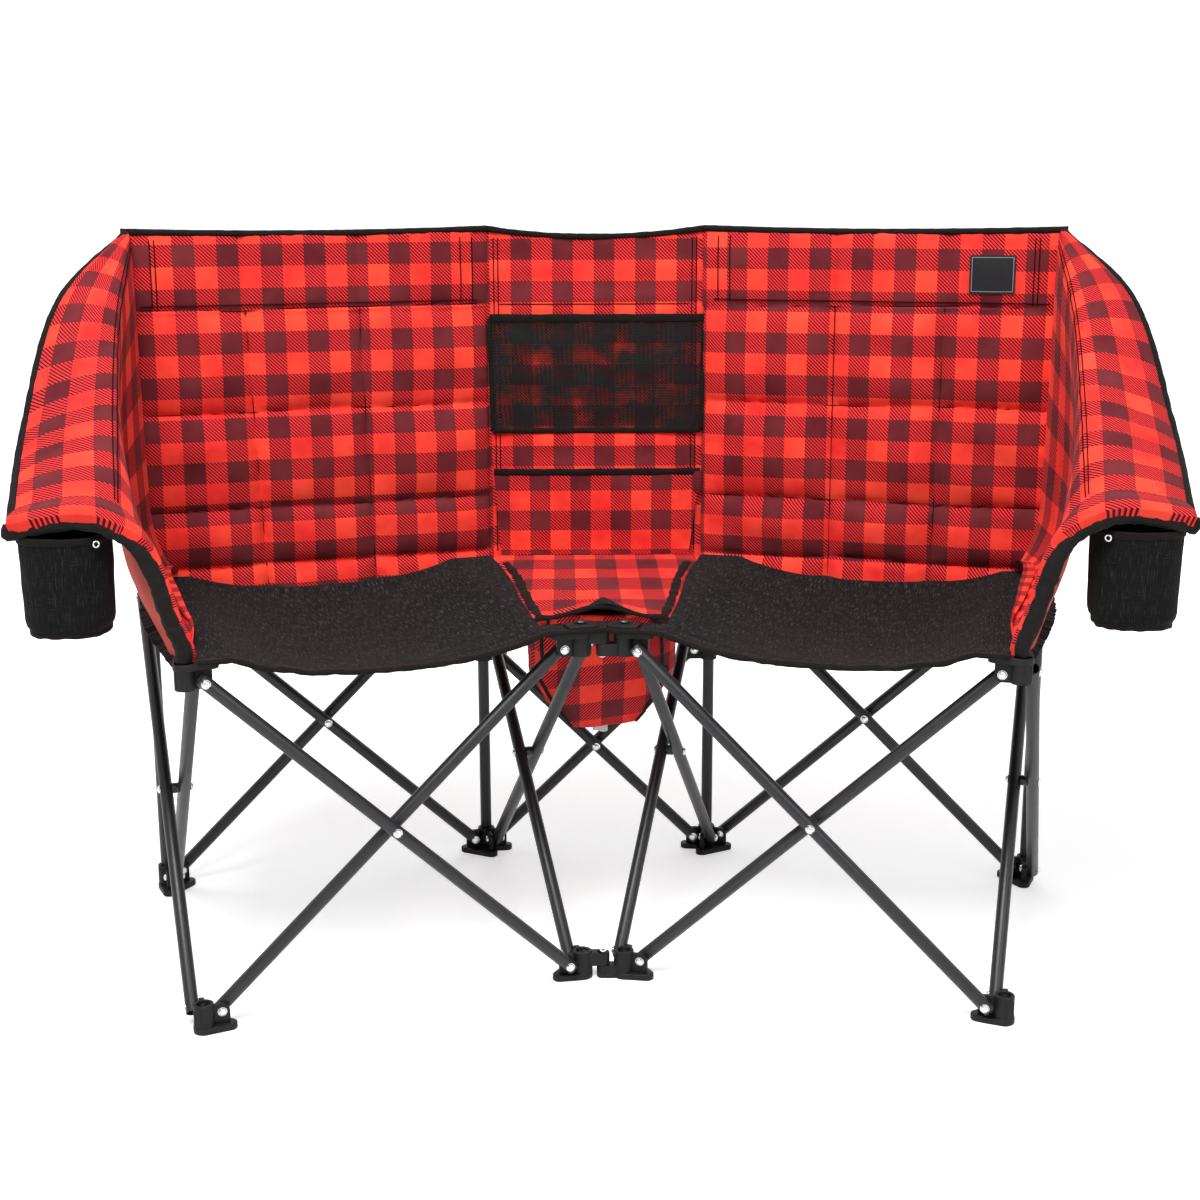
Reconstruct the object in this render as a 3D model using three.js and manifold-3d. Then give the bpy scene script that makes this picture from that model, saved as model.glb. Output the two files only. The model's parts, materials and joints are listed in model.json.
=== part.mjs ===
// Folding camping loveseat: two square scissor frames joined at the front, with a quilted cloth cover.
// Millimetres, +Z up. The sitter faces -Y. Every half is laid out in its own plan:
// "along" runs outward from its front inner corner and "deep" runs back from it.
import * as THREE from 'three';
import { mergeVertices } from 'three/addons/utils/BufferGeometryUtils.js';
import Module from 'manifold-3d';

const wasm = await Module();
wasm.setup();

// Clearances
const clearance = 0.3;
const overrun = 4;
const sliderPlay = 0.9;

// Plan of the frame
const toeInDegrees = 17.3;
const middleInset = 26;
const cornerSpan = 463;
const pivotInset = 21;

// Heights of the frame
const footPivotHeight = 23;
const pivotRise = 400;
const middleRise = 281;

// Tubes and rivets
const tubeRadius = 8;
const tubeBore = 6.9;
const tubeEnd = 7.5;
const tubeSides = 10;
const rivetHeadRadius = 4.8;
const rivetHeadHeight = 2.7;
const rivetShoulderRadius = 3.4;
const rivetShoulderHeight = 1.9;
const rivetSides = 6;
const pinHoleSides = 8;
const pinRadius = 2.4;
const spacerRadius = 6.5;
const middlePlay = 1.2;

// Plastic foot and hub mouldings
const tabThickness = 6;
const tabReach = 9;
const flangeThickness = 8;
const flangeCornerRadius = 13;
const flangeEndRadius = 9;
const flangeOverhang = 8;
const socketRadius = 12;
const socketFloor = 6;
const socketRise = 35;
const hubTop = 22;
const hubSkirt = 9;
const arcSteps = 3;
const tabCorner = 4;

// Hinge lugs and pins that join the two halves
const lugRadius = 8;
const lugPinHeadRadius = 4.2;
const lugPinHeadHeight = 1.8;
const footLugTop = 33;

// Sliders of the rear middle cross
const sliderHeight = 26;

// Posts
const postTop = 897;
const armPostSteps = 14;
const armPostReaches = [0, 0, 0, 12, 31, 48, 77, 104, 144, 181];
const armPostHeights = [-31, 0, 14, 45, 108, 136, 154, 160, 156, 149];

// Cloth thicknesses
const seatThickness = 4;
const backThickness = 8;
const armThickness = 6;
const pocketThickness = 2;
const sleeveWall = 2.5;

// Seat cloth
const hemLead = 14;
const bandDepth = 22;
const bandStep = 10;
const seatFlatReach = 50;
const seatSideGap = 2.2;
const frontSag = 26;
const rearSag = 30;
const middleSag = 16;
const sagPower = 2.6;
const seatColumns = 6;
const seatRowShares = [0.17, 0.3, 0.48, 0.66, 0.84, 1];
const seatInnerShares = [0.1, 0.098, 0.096, 0.088, 0.073, 0.045, 0.014, -0.006, -0.016];
const seatHalfRow = 5;

// Clamp plates on the front inner hubs
const plateLength = 38;
const plateWidth = 28;
const plateThickness = 3;
const screwRadius = 6.5;
const screwHeight = 2.2;
const screwShankRadius = 3;

// Quilted back
const clothTop = 905;
const bandHeight = 103;
const quiltSeamOne = 172;
const quiltSeamTwo = 322;
const lowSeamHeight = 530;
const midSeamHeight = 667;
const quiltCrown = 4;
const topDip = 4;
const cellSteps = 3;
const centreDip = 11;
const centreThickness = 5;
const centreCrown = 5;
const centreColumns = 8;
const centreRows = 10;

// Pockets and patches on the back
const meshTop = 783;
const meshBottom = 627;
const slipTop = 569;
const pocketDepth = 6;
const pocketSideInset = 6;
const strapWidth = 20;
const strapLength = 29;
const strapLap = 3;
const strapThickness = 1.2;
const labelWidth = 59;
const labelHeight = 50;
const labelThickness = 1.2;
const labelAlong = 381;
const labelLift = 19;

// Arms: places across the arm at three stations from the back post forward
const armSeamShare = 0.587;
const armDeepShares = [0.955, 0.735, 0.43];
const armSeamAlongShares = [1.002, 1.057, 1.098];
const armSeamHeightShares = [0.987, 0.901, 0.791];
const armRimAlongShares = [1.012, 1.2, 1.319];
const armRimDeepShares = [0.955, 0.782, 0.478];
const armRimHeightShares = [0.996, 0.911, 0.755];
const armWallInset = 8;
const armWallCrowns = [3, 36, 30];
const armWallSkew = 0.5;
const armFootLift = 2.5;
const armWingCrown = 5;
const armWallColumns = 5;
const armWingColumns = 4;
const armRows = 10;

// Drink holders
const cupRadius = 50;
const cupFootRadius = 47;
const cupWall = 2.5;
const cupHeight = 112;
const cupReach = 132;
const cupDrop = 0.9;
const cupSides = 18;

// Cooler bag between the seats and the cloth lid over it
const bagTopWidth = 190;
const bagBellyWidth = 200;
const bagWaistWidth = 156;
const bagFootWidth = 92;
const bagBelly = 48;
const bagHip = 95;
const bagWaist = 145;
const bagDepth = 186;
const bagFrontShares = { foot: 0.445, waist: 0.363, hip: 0.272, belly: 0.194, top: 0.164 };
const bagBackShares = { foot: 0.518, waist: 0.609, hip: 0.713, belly: 0.829, top: 0.916 };
const bagWall = 2.5;
const bagCornerShare = 0.3;
const bagCornerSteps = 3;
const lidFrontShare = 0.113;
const lidSideGap = 2;
const lidColumns = 6;
const lidRows = 9;
const lidRipple = 2.2;
const lidRipples = 4;
const lidLift = 14;
const lidLiftShare = 0.2;
const lidPeakPower = 4;

// Places worked out from the sizes above
const toeIn = THREE.MathUtils.degToRad(toeInDegrees);
const hubPivotHeight = footPivotHeight + pivotRise;
const hubTopHeight = hubPivotHeight + hubTop;
const sliderPivotHeight = footPivotHeight + middleRise;
const tubeOffset = tabThickness / 2 + clearance + tubeRadius;
const boreRadius = tubeRadius + clearance;
const sleeveRadius = boreRadius + sleeveWall;
const clothHeight = hubTopHeight + clearance;
const seatHeight = clothHeight + seatThickness / 2;
const backDeep = cornerSpan - boreRadius - backThickness / 2;
const backFace = backDeep - backThickness / 2 - quiltCrown;
const seatRear = backFace - clearance;
const seatLength = seatRear + hemLead;
const bandBottom = clothTop - bandHeight;

// Colours of the cloth, plastic and metal
const finishes = {
  blackTube: new THREE.Color(0x17181a),
  blackPlastic: new THREE.Color(0x111112),
  heather: new THREE.Color(0x1d1d1c),
  plaid: new THREE.Color(0xa8281f),
  mesh: new THREE.Color(0x1a1214),
  steel: new THREE.Color(0xb9babb),
};

const chair = new THREE.Group();

function addMesh(name, geometry, finish, roughness, metalness = 0) {
  const material = new THREE.MeshStandardMaterial({ color: finishes[finish], roughness, metalness });
  const mesh = new THREE.Mesh(geometry, material);
  mesh.name = name;
  chair.add(mesh);
  return mesh;
}

// Booleans

function toManifold(geometry) {
  const bare = geometry.clone();
  bare.deleteAttribute('normal');
  bare.deleteAttribute('uv');
  const merged = mergeVertices(bare);
  return new wasm.Manifold(new wasm.Mesh({
    numProp: 3,
    vertProperties: new Float32Array(merged.attributes.position.array),
    triVerts: new Uint32Array(merged.index.array),
  }));
}

function toGeometry(solid) {
  const mesh = solid.getMesh();
  const geometry = new THREE.BufferGeometry();
  geometry.setAttribute('position', new THREE.BufferAttribute(mesh.vertProperties, 3));
  geometry.setIndex(new THREE.BufferAttribute(mesh.triVerts, 1));
  geometry.computeVertexNormals();
  return geometry;
}

function join(...geometries) {
  return geometries.map(toManifold).reduce((whole, piece) => whole.add(piece));
}

// Basic solids

function ringShape(radius, bore, start = 0) {
  const shape = new THREE.Shape();
  shape.absarc(0, 0, radius, start, start + 2 * Math.PI, false);
  if (bore > 0) {
    const hole = new THREE.Path();
    hole.absarc(0, 0, bore, start, start - 2 * Math.PI, true);
    shape.holes.push(hole);
  }
  return shape;
}

// An upright ring or rod from one height to another.
function rod(radius, bore, low, high, sides = tubeSides) {
  const options = { depth: high - low, bevelEnabled: false, curveSegments: sides / 2 };
  return new THREE.ExtrudeGeometry(ringShape(radius, bore), options).translate(0, 0, low);
}

// A turned piece: pairs of radius and place along the axis, which points along X (way 1) or -X (way -1).
function turned(pairs, way, z, sides = rivetSides) {
  const profile = pairs.map(([radius, place]) => new THREE.Vector2(radius, place));
  const piece = new THREE.LatheGeometry(profile, sides);
  piece.rotateZ(way > 0 ? -Math.PI / 2 : Math.PI / 2);
  return piece.translate(0, 0, z);
}

// The outline of a domed rivet head that sits at a place along the axis.
function headPairs(place) {
  return [
    [rivetHeadRadius, place],
    [rivetShoulderRadius, place + rivetShoulderHeight],
    [0, place + rivetHeadHeight],
  ];
}

function box(width, depth, height, x, y, z) {
  return new THREE.BoxGeometry(width, depth, height).translate(x, y, z);
}

// Plan of one half

function halfPlan(side) {
  const out = new THREE.Vector3(side * Math.cos(toeIn), -Math.sin(toeIn), 0);
  const back = new THREE.Vector3(side * Math.sin(toeIn), Math.cos(toeIn), 0);
  const corner = new THREE.Vector3(side * middleInset, 0, 0);
  const at = (along, deep, z) => corner.clone()
    .addScaledVector(out, along)
    .addScaledVector(back, deep)
    .setZ(z);
  return { side, label: side < 0 ? 'left' : 'right', out, back, at };
}

const halves = [halfPlan(-1), halfPlan(1)];

const corners = {
  front_inner: [0, 0],
  front_outer: [cornerSpan, 0],
  rear_inner: [0, cornerSpan],
  rear_outer: [cornerSpan, cornerSpan],
};

// The two sides of the square that meet in each corner, as directions away from it.
function cornerDirections(half, corner) {
  const along = corner.endsWith('inner') ? 1 : -1;
  const deep = corner.startsWith('front') ? 1 : -1;
  return [half.out.clone().multiplyScalar(along), half.back.clone().multiplyScalar(deep)];
}

// Plastic mouldings: a flange, a round socket and one upright tab for each cross that meets there

function hullOf(circles) {
  const points = [];
  for (const { centre, radius } of circles) {
    for (let step = 0; step < 4 * arcSteps; step += 1) {
      const turn = (Math.PI * step) / (2 * arcSteps);
      points.push(new THREE.Vector2(
        centre.x + radius * Math.cos(turn),
        centre.y + radius * Math.sin(turn),
      ));
    }
  }
  points.sort((p, q) => p.x - q.x || p.y - q.y);
  const turnOf = (o, p, q) => (p.x - o.x) * (q.y - o.y) - (p.y - o.y) * (q.x - o.x);
  const chain = (list) => {
    const kept = [];
    for (const point of list) {
      while (kept.length > 1 && turnOf(kept.at(-2), kept.at(-1), point) <= 0) kept.pop();
      kept.push(point);
    }
    kept.pop();
    return kept;
  };
  return [...chain(points), ...chain([...points].reverse())];
}

function flange(directions, low) {
  const reach = pivotInset + flangeOverhang;
  const circles = directions.map((direction) => ({
    centre: direction.clone().multiplyScalar(reach),
    radius: flangeEndRadius,
  }));
  circles.push({ centre: new THREE.Vector3(), radius: flangeCornerRadius });
  const shape = new THREE.Shape(hullOf(circles));
  const options = { depth: flangeThickness, bevelEnabled: false };
  return new THREE.ExtrudeGeometry(shape, options).translate(0, 0, low);
}

// A tab stands on the flange, seen from its side: x runs away from the corner and y runs from the flange.
function tab(direction, pivot, base, way) {
  const shape = new THREE.Shape();
  const reach = pivotInset + tabReach;
  shape.moveTo(0, base);
  shape.lineTo(reach, base);
  shape.lineTo(reach, pivot + way * (tabReach - tabCorner));
  shape.lineTo(reach - tabCorner, pivot + way * tabReach);
  shape.lineTo(0, pivot + way * tabReach);
  const hole = new THREE.Path();
  hole.absarc(pivotInset, pivot, pinRadius + clearance, 0, 2 * Math.PI, way > 0);
  shape.holes.push(hole);
  const options = { depth: tabThickness, bevelEnabled: false, curveSegments: pinHoleSides / 2 };
  const plate = new THREE.ExtrudeGeometry(shape, options).translate(0, 0, -tabThickness / 2);
  plate.rotateX(Math.PI / 2);
  return plate.rotateZ(Math.atan2(direction.y, direction.x));
}

function footMoulding(directions) {
  const tabs = directions.map((direction) => tab(direction, footPivotHeight, flangeThickness / 2, 1));
  const solid = join(flange(directions, 0), rod(socketRadius, 0, 0, socketRise), ...tabs);
  return solid.subtract(toManifold(rod(boreRadius, 0, socketFloor, socketRise + overrun)));
}

// Heights in a hub are measured from its pivots.
function hubMoulding(directions, boreLow, boreHigh) {
  const tabs = directions.map((direction) => tab(direction, 0, hubTop - flangeThickness / 2, -1));
  const body = rod(socketRadius, 0, -hubSkirt, hubTop);
  const solid = join(flange(directions, hubTop - flangeThickness), body, ...tabs);
  return solid.subtract(toManifold(rod(boreRadius, 0, boreLow, boreHigh)));
}

// A lug reaches from a front inner corner to the middle plane, where the pin holds the two halves.
function lug(side, low, high) {
  const reach = side * middleInset;
  const arm = box(middleInset, 2 * lugRadius, high - low, -reach / 2, 0, (low + high) / 2);
  const eye = rod(lugRadius, 0, low, high).translate(-reach, 0, 0);
  return join(arm, eye);
}

function cutPinHole(solid, side) {
  const hole = rod(pinRadius + clearance, 0, -cornerSpan, cornerSpan, pinHoleSides);
  return solid.subtract(toManifold(hole.translate(-side * middleInset, 0, 0)));
}

// The socket stays open where a lug crosses it.
function addFeetAndHubs(half) {
  for (const [corner, [along, deep]] of Object.entries(corners)) {
    const place = half.at(along, deep, 0);
    const directions = cornerDirections(half, corner);
    const towardMiddle = new THREE.Vector3(-half.side, 0, 0);
    const footDirections = corner === 'rear_inner' ? [...directions, towardMiddle] : directions;
    let foot = footMoulding(footDirections);
    const blind = corner === 'front_inner';
    const boreHigh = blind ? hubTop - socketFloor : hubTop + overrun;
    let hub = hubMoulding(directions, -hubSkirt - overrun, boreHigh);
    if (blind) {
      const seam = (footLugTop + clearance) / 2;
      const footLug = half.side < 0 ? lug(half.side, seam, footLugTop) : lug(half.side, 0, seam - clearance);
      foot = foot.add(footLug);
      foot = foot.subtract(toManifold(rod(boreRadius, 0, socketFloor, socketRise + overrun)));
      foot = cutPinHole(foot, half.side);
      const middle = (hubTop - hubSkirt) / 2;
      const hubLug = half.side < 0
        ? lug(half.side, middle + clearance / 2, hubTop)
        : lug(half.side, -hubSkirt, middle - clearance / 2);
      hub = hub.add(hubLug);
      hub = hub.subtract(toManifold(rod(boreRadius, 0, -hubSkirt - overrun, boreHigh)));
      hub = cutPinHole(hub, half.side);
    }
    const footMesh = addMesh(`foot_${corner}_${half.label}`, toGeometry(foot), 'blackPlastic', 0.55);
    footMesh.position.copy(place);
    if (blind) hub = clampPlate(half).reduce((whole, piece) => whole.add(toManifold(piece)), hub);
    const hubMesh = addMesh(`hub_${corner}_${half.label}`, toGeometry(hub), 'blackPlastic', 0.55);
    hubMesh.position.copy(place).setZ(hubPivotHeight);
  }
}

// The plate and its screw hold the seat cloth down on a front inner hub.
function clampPlate(half) {
  const low = hubTop + clearance + seatThickness + clearance;
  const turn = Math.atan2(half.out.y * half.side, half.out.x * half.side);
  const plate = box(plateLength, plateWidth, plateThickness, 0, 0, low + plateThickness / 2);
  plate.rotateZ(turn);
  const shank = rod(screwShankRadius, 0, hubTop - flangeThickness / 2, low + plateThickness / 2, rivetSides);
  const screwLow = low + plateThickness / 2;
  const screw = rod(screwRadius, 0, screwLow, low + plateThickness + screwHeight, rivetSides);
  return [plate, shank, screw];
}

function addLinkPins() {
  const footPin = join(
    rod(pinRadius, 0, flangeThickness / 2, footLugTop + lugPinHeadHeight, rivetSides),
    rod(lugPinHeadRadius, 0, footLugTop + clearance, footLugTop + lugPinHeadHeight, rivetSides),
  );
  addMesh('foot_link_pin', toGeometry(footPin), 'steel', 0.3, 1);
  const low = -hubSkirt - lugPinHeadHeight;
  const hubPin = join(
    rod(pinRadius, 0, low, hubTop, rivetSides),
    rod(lugPinHeadRadius, 0, low, -hubSkirt - clearance, rivetSides),
  );
  addMesh('hub_link_pin', toGeometry(hubPin), 'steel', 0.3, 1).position.setZ(hubPivotHeight);
}

// Crossed tubes

// A tube whose local Z runs from its low pivot to its high pivot and whose local X points away from
// the plane of the tabs, with its rivets set in its wall. The tube that carries the middle rivet has
// the spacer on it too, and the other one has the hole for it.
function crossTube(length, carriesMiddle, play) {
  const tube = rod(tubeRadius, tubeBore, -tubeEnd, length + tubeEnd, tubeSides);
  tube.rotateZ(Math.PI / tubeSides);
  const wallMiddle = (tubeRadius + tubeBore) / 2 * Math.cos(Math.PI / tubeSides);
  const tabFar = tubeOffset + tabThickness / 2 + clearance;
  const outerHead = [[0, wallMiddle], ...headPairs(wallMiddle)];
  const pivotPin = [[0, wallMiddle], [pinRadius, wallMiddle], [pinRadius, tabFar], ...headPairs(tabFar)];
  let solid = toManifold(tube);
  for (const z of [0, length]) {
    solid = solid.add(toManifold(turned(outerHead, 1, z)));
    solid = solid.add(toManifold(turned(pivotPin, -1, z)));
  }
  const nearFace = 2 * tubeOffset - tubeRadius - clearance;
  const farFace = 2 * tubeOffset + tubeRadius + clearance;
  if (carriesMiddle) {
    const middlePin = [
      [0, wallMiddle], [spacerRadius, wallMiddle], [spacerRadius, nearFace],
      [pinRadius, nearFace], [pinRadius, farFace], ...headPairs(farFace),
    ];
    solid = solid.add(toManifold(turned(outerHead, 1, length / 2)));
    return toGeometry(solid.add(toManifold(turned(middlePin, -1, length / 2))));
  }
  const holeRadius = pinRadius + play;
  const reach = tubeRadius + overrun;
  const hole = [[0, -reach], [holeRadius, -reach], [holeRadius, reach], [0, reach]];
  return toGeometry(solid.subtract(toManifold(turned(hole, 1, length / 2, pinHoleSides))));
}

function addCrossTube(name, low, high, away, carriesMiddle, play) {
  const offset = away.clone().multiplyScalar(tubeOffset);
  const start = low.clone().add(offset);
  const axis = high.clone().sub(low);
  const length = axis.length();
  axis.normalize();
  const across = axis.clone().cross(away);
  const turn = new THREE.Matrix4().makeBasis(away, across, axis);
  const mesh = addMesh(name, crossTube(length, carriesMiddle, play), 'blackTube', 0.35, 0.6);
  mesh.position.copy(start);
  mesh.quaternion.setFromRotationMatrix(turn);
  return mesh;
}

// Two tubes cross between a left and a right corner, seen from outside the square. Tube a leans from
// the high left to the low right on the outside, and tube b crosses it on the inside.
function addCross(name, left, right, outward, highHeight, play) {
  const way = right.clone().sub(left).normalize();
  const leftPlace = left.clone().addScaledVector(way, pivotInset);
  const rightPlace = right.clone().addScaledVector(way, -pivotInset);
  const low = (place) => place.clone().setZ(footPivotHeight);
  const high = (place) => place.clone().setZ(highHeight);
  const inward = outward.clone().negate();
  addCrossTube(`${name}_tube_a`, low(rightPlace), high(leftPlace), outward, true, play);
  addCrossTube(`${name}_tube_b`, low(leftPlace), high(rightPlace), inward, false, play);
}

function addCrosses(half) {
  const place = (corner) => half.at(...corners[corner], 0);
  const sides = [
    ['front', 'front_inner', 'front_outer', half.back.clone().negate()],
    ['outer', 'front_outer', 'rear_outer', half.out.clone()],
    ['rear', 'rear_outer', 'rear_inner', half.back.clone()],
    ['inner', 'rear_inner', 'front_inner', half.out.clone().negate()],
  ];
  for (const [side, first, second, outward] of sides) {
    const ends = half.side > 0 ? [first, second] : [second, first];
    const [left, right] = ends.map(place);
    addCross(`${side}_cross_${half.label}`, left, right, outward, hubPivotHeight, clearance);
  }
}

function addMiddleCross() {
  const [left, right] = halves.map((half) => half.at(...corners.rear_inner, 0));
  const forward = new THREE.Vector3(0, -1, 0);
  addCross('middle_cross', left, right, forward, sliderPivotHeight, middlePlay);
}

function addSliders() {
  for (const half of halves) {
    const reach = pivotInset + tabReach;
    const plate = box(reach, tabThickness, sliderHeight, -half.side * reach / 2, 0, 0);
    const solid = join(rod(socketRadius, 0, -sliderHeight / 2, sliderHeight / 2), plate);
    const bore = rod(tubeRadius + sliderPlay, 0, -sliderHeight, sliderHeight);
    const pinHole = rod(pinRadius + clearance, 0, -sliderHeight, sliderHeight, pinHoleSides);
    pinHole.rotateX(Math.PI / 2).translate(-half.side * pivotInset, 0, 0);
    const slider = toGeometry(solid.subtract(toManifold(bore)).subtract(toManifold(pinHole)));
    const place = half.at(...corners.rear_inner, sliderPivotHeight);
    addMesh(`slider_${half.label}`, slider, 'blackPlastic', 0.55).position.copy(place);
  }
}

// Posts

function addBackPosts(half) {
  for (const corner of ['rear_inner', 'rear_outer']) {
    const post = rod(tubeRadius, tubeBore, socketFloor + clearance, postTop, tubeSides);
    const name = `back_post_${corner.split('_')[1]}_${half.label}`;
    addMesh(name, post, 'blackTube', 0.35, 0.6).position.copy(half.at(...corners[corner], 0));
  }
}

// The arm post rises from its hub and bends outward to the tip of the arm.
function armPostCurve(half, extension = 0) {
  const foot = half.at(...corners.front_outer, 0);
  const points = armPostReaches.map((reach, index) => new THREE.Vector3(
    foot.x + half.side * reach,
    foot.y,
    hubTopHeight + armPostHeights[index],
  ));
  if (extension > 0) {
    const last = points.at(-1);
    const way = last.clone().sub(points.at(-2)).normalize();
    points.push(last.clone().addScaledVector(way, extension));
  }
  return new THREE.CatmullRomCurve3(points, false, 'centripetal');
}

// The ring is turned by half a side, to lie as the sides of the hub's bore do.
function alongCurve(curve, radius, bore) {
  const options = {
    steps: armPostSteps,
    extrudePath: curve,
    bevelEnabled: false,
    curveSegments: tubeSides / 2,
  };
  return new THREE.ExtrudeGeometry(ringShape(radius, bore, Math.PI / tubeSides), options);
}

function addArmPost(half) {
  const post = alongCurve(armPostCurve(half), tubeRadius, tubeBore);
  addMesh(`arm_post_${half.label}`, post, 'blackTube', 0.35, 0.6);
}

// Cloth

// A grid of points as one closed sheet. point(s, t) gives its middle surface and lift(s, t) how far
// the front stands proud there. The front is the side of ds x dt, or the other side if flipped.
function sheet(sShares, tShares, point, thickness, lift, flipped) {
  const columns = sShares.length;
  const rows = tShares.length;
  const grid = tShares.map((t) => sShares.map((s) => point(s, t)));
  const front = [];
  const back = [];
  for (let row = 0; row < rows; row += 1) {
    for (let column = 0; column < columns; column += 1) {
      const across = grid[row][Math.min(column + 1, columns - 1)].clone()
        .sub(grid[row][Math.max(column - 1, 0)]);
      const down = grid[Math.min(row + 1, rows - 1)][column].clone()
        .sub(grid[Math.max(row - 1, 0)][column]);
      const normal = across.cross(down).normalize().multiplyScalar(flipped ? -1 : 1);
      const proud = lift ? lift(sShares[column], tShares[row]) : 0;
      front.push(grid[row][column].clone().addScaledVector(normal, thickness / 2 + proud));
      back.push(grid[row][column].clone().addScaledVector(normal, -thickness / 2));
    }
  }
  const points = [...front, ...back];
  const indices = [];
  const triangle = (a, b, c) => indices.push(...(flipped ? [a, c, b] : [a, b, c]));
  const quad = (a, b, c, d) => {
    triangle(a, b, c);
    triangle(a, c, d);
  };
  const id = (row, column) => row * columns + column;
  const under = columns * rows;
  for (let row = 0; row < rows - 1; row += 1) {
    for (let column = 0; column < columns - 1; column += 1) {
      const [a, b, c, d] = [id(row, column), id(row, column + 1), id(row + 1, column + 1), id(row + 1, column)];
      quad(a, b, c, d);
      quad(under + d, under + c, under + b, under + a);
    }
  }
  const edge = (a, b) => quad(under + a, under + b, b, a);
  for (let column = 0; column < columns - 1; column += 1) {
    edge(id(0, column), id(0, column + 1));
    edge(id(rows - 1, column + 1), id(rows - 1, column));
  }
  for (let row = 0; row < rows - 1; row += 1) {
    edge(id(row + 1, 0), id(row, 0));
    edge(id(row, columns - 1), id(row + 1, columns - 1));
  }
  const geometry = new THREE.BufferGeometry();
  geometry.setAttribute('position', new THREE.Float32BufferAttribute(points.flatMap((p) => p.toArray()), 3));
  geometry.setIndex(indices);
  geometry.computeVertexNormals();
  return geometry;
}

const evenShares = (count) => Array.from({ length: count + 1 }, (_, index) => index / count);
const mix = THREE.MathUtils.lerp;
const hump = (share, power = 2) => 1 - Math.abs(2 * share - 1) ** power;

// A value read off a list of shares at a place between 0 and 1 along the list's own keys.
function readShares(keys, values, place) {
  const last = keys.length - 1;
  for (let index = 0; index < last; index += 1) {
    if (place <= keys[index + 1] || index === last - 1) {
      const local = (place - keys[index]) / (keys[index + 1] - keys[index]);
      return mix(values[index], values[index + 1], local);
    }
  }
  return values[0];
}

// Seat

const seatSideAlong = cornerSpan - sleeveRadius - seatSideGap;
const bandRows = [0, hemLead + bandDepth, hemLead + bandDepth + bandStep];
const seatDepthShares = [...bandRows.map((row) => row / seatLength), ...seatRowShares];

function seatInnerAlong(share) {
  const deep = share * seatLength - hemLead;
  if (deep <= bandDepth + clearance) {
    return (clearance / 2 - middleInset - deep * Math.sin(toeIn)) / Math.cos(toeIn);
  }
  return readShares(seatDepthShares, seatInnerShares, share) * cornerSpan;
}

function seatSagAt(along, share) {
  const place = (along - seatFlatReach) / (cornerSpan - 2 * seatFlatReach);
  if (place <= 0 || place >= 1) return 0;
  return hump(place, sagPower) * (mix(frontSag, rearSag, share) + middleSag * hump(share));
}

// The cloth lies flat over the hubs, so its columns between the two edges start and end past them.
function seatAlong(s, share) {
  if (s === 0) return seatInnerAlong(share);
  if (s === 1) return seatSideAlong;
  return s * cornerSpan;
}

function seatPoint(half, s, share) {
  const along = seatAlong(s, share);
  const deep = share * seatLength - hemLead;
  return half.at(along, deep, seatHeight - seatSagAt(along, share));
}

function addSeat(half) {
  const flatShare = seatFlatReach / cornerSpan;
  const columns = [0, ...evenShares(seatColumns).map((s) => mix(flatShare, 1 - flatShare, s)), 1];
  const middle = seatDepthShares[seatHalfRow];
  const slit = clearance / 2 / seatLength;
  const rows = {
    front: [...seatDepthShares.slice(0, seatHalfRow), middle - slit],
    rear: [middle + slit, ...seatDepthShares.slice(seatHalfRow + 1)],
  };
  for (const [part, shares] of Object.entries(rows)) {
    const point = (s, t) => seatPoint(half, s, t);
    const cloth = toManifold(
      sheet(columns, shares, point, seatThickness, null, half.side < 0),
    );
    const place = half.at(0, 0, 0);
    const hole = rod(screwShankRadius + clearance, 0, hubPivotHeight, clothTop, pinHoleSides);
    const solid = cloth.subtract(toManifold(hole.translate(place.x, place.y, 0)));
    addMesh(`seat_${part}_${half.label}`, toGeometry(solid), 'heather', 0.95);
  }
}

// Quilted side of the back

function quiltShares(lines) {
  const shares = [];
  for (let cell = 0; cell < lines.length - 1; cell += 1) {
    for (let step = 0; step < cellSteps; step += 1) {
      shares.push(mix(lines[cell], lines[cell + 1], step / cellSteps));
    }
  }
  return [...shares, 1];
}

function cellHump(lines, share) {
  for (let cell = 0; cell < lines.length - 1; cell += 1) {
    if (share < lines[cell + 1] || cell === lines.length - 2) {
      return hump((share - lines[cell]) / (lines[cell + 1] - lines[cell]));
    }
  }
  return 0;
}

function seatRearHeight(along) {
  return seatHeight - seatSagAt(along, 1);
}

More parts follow.
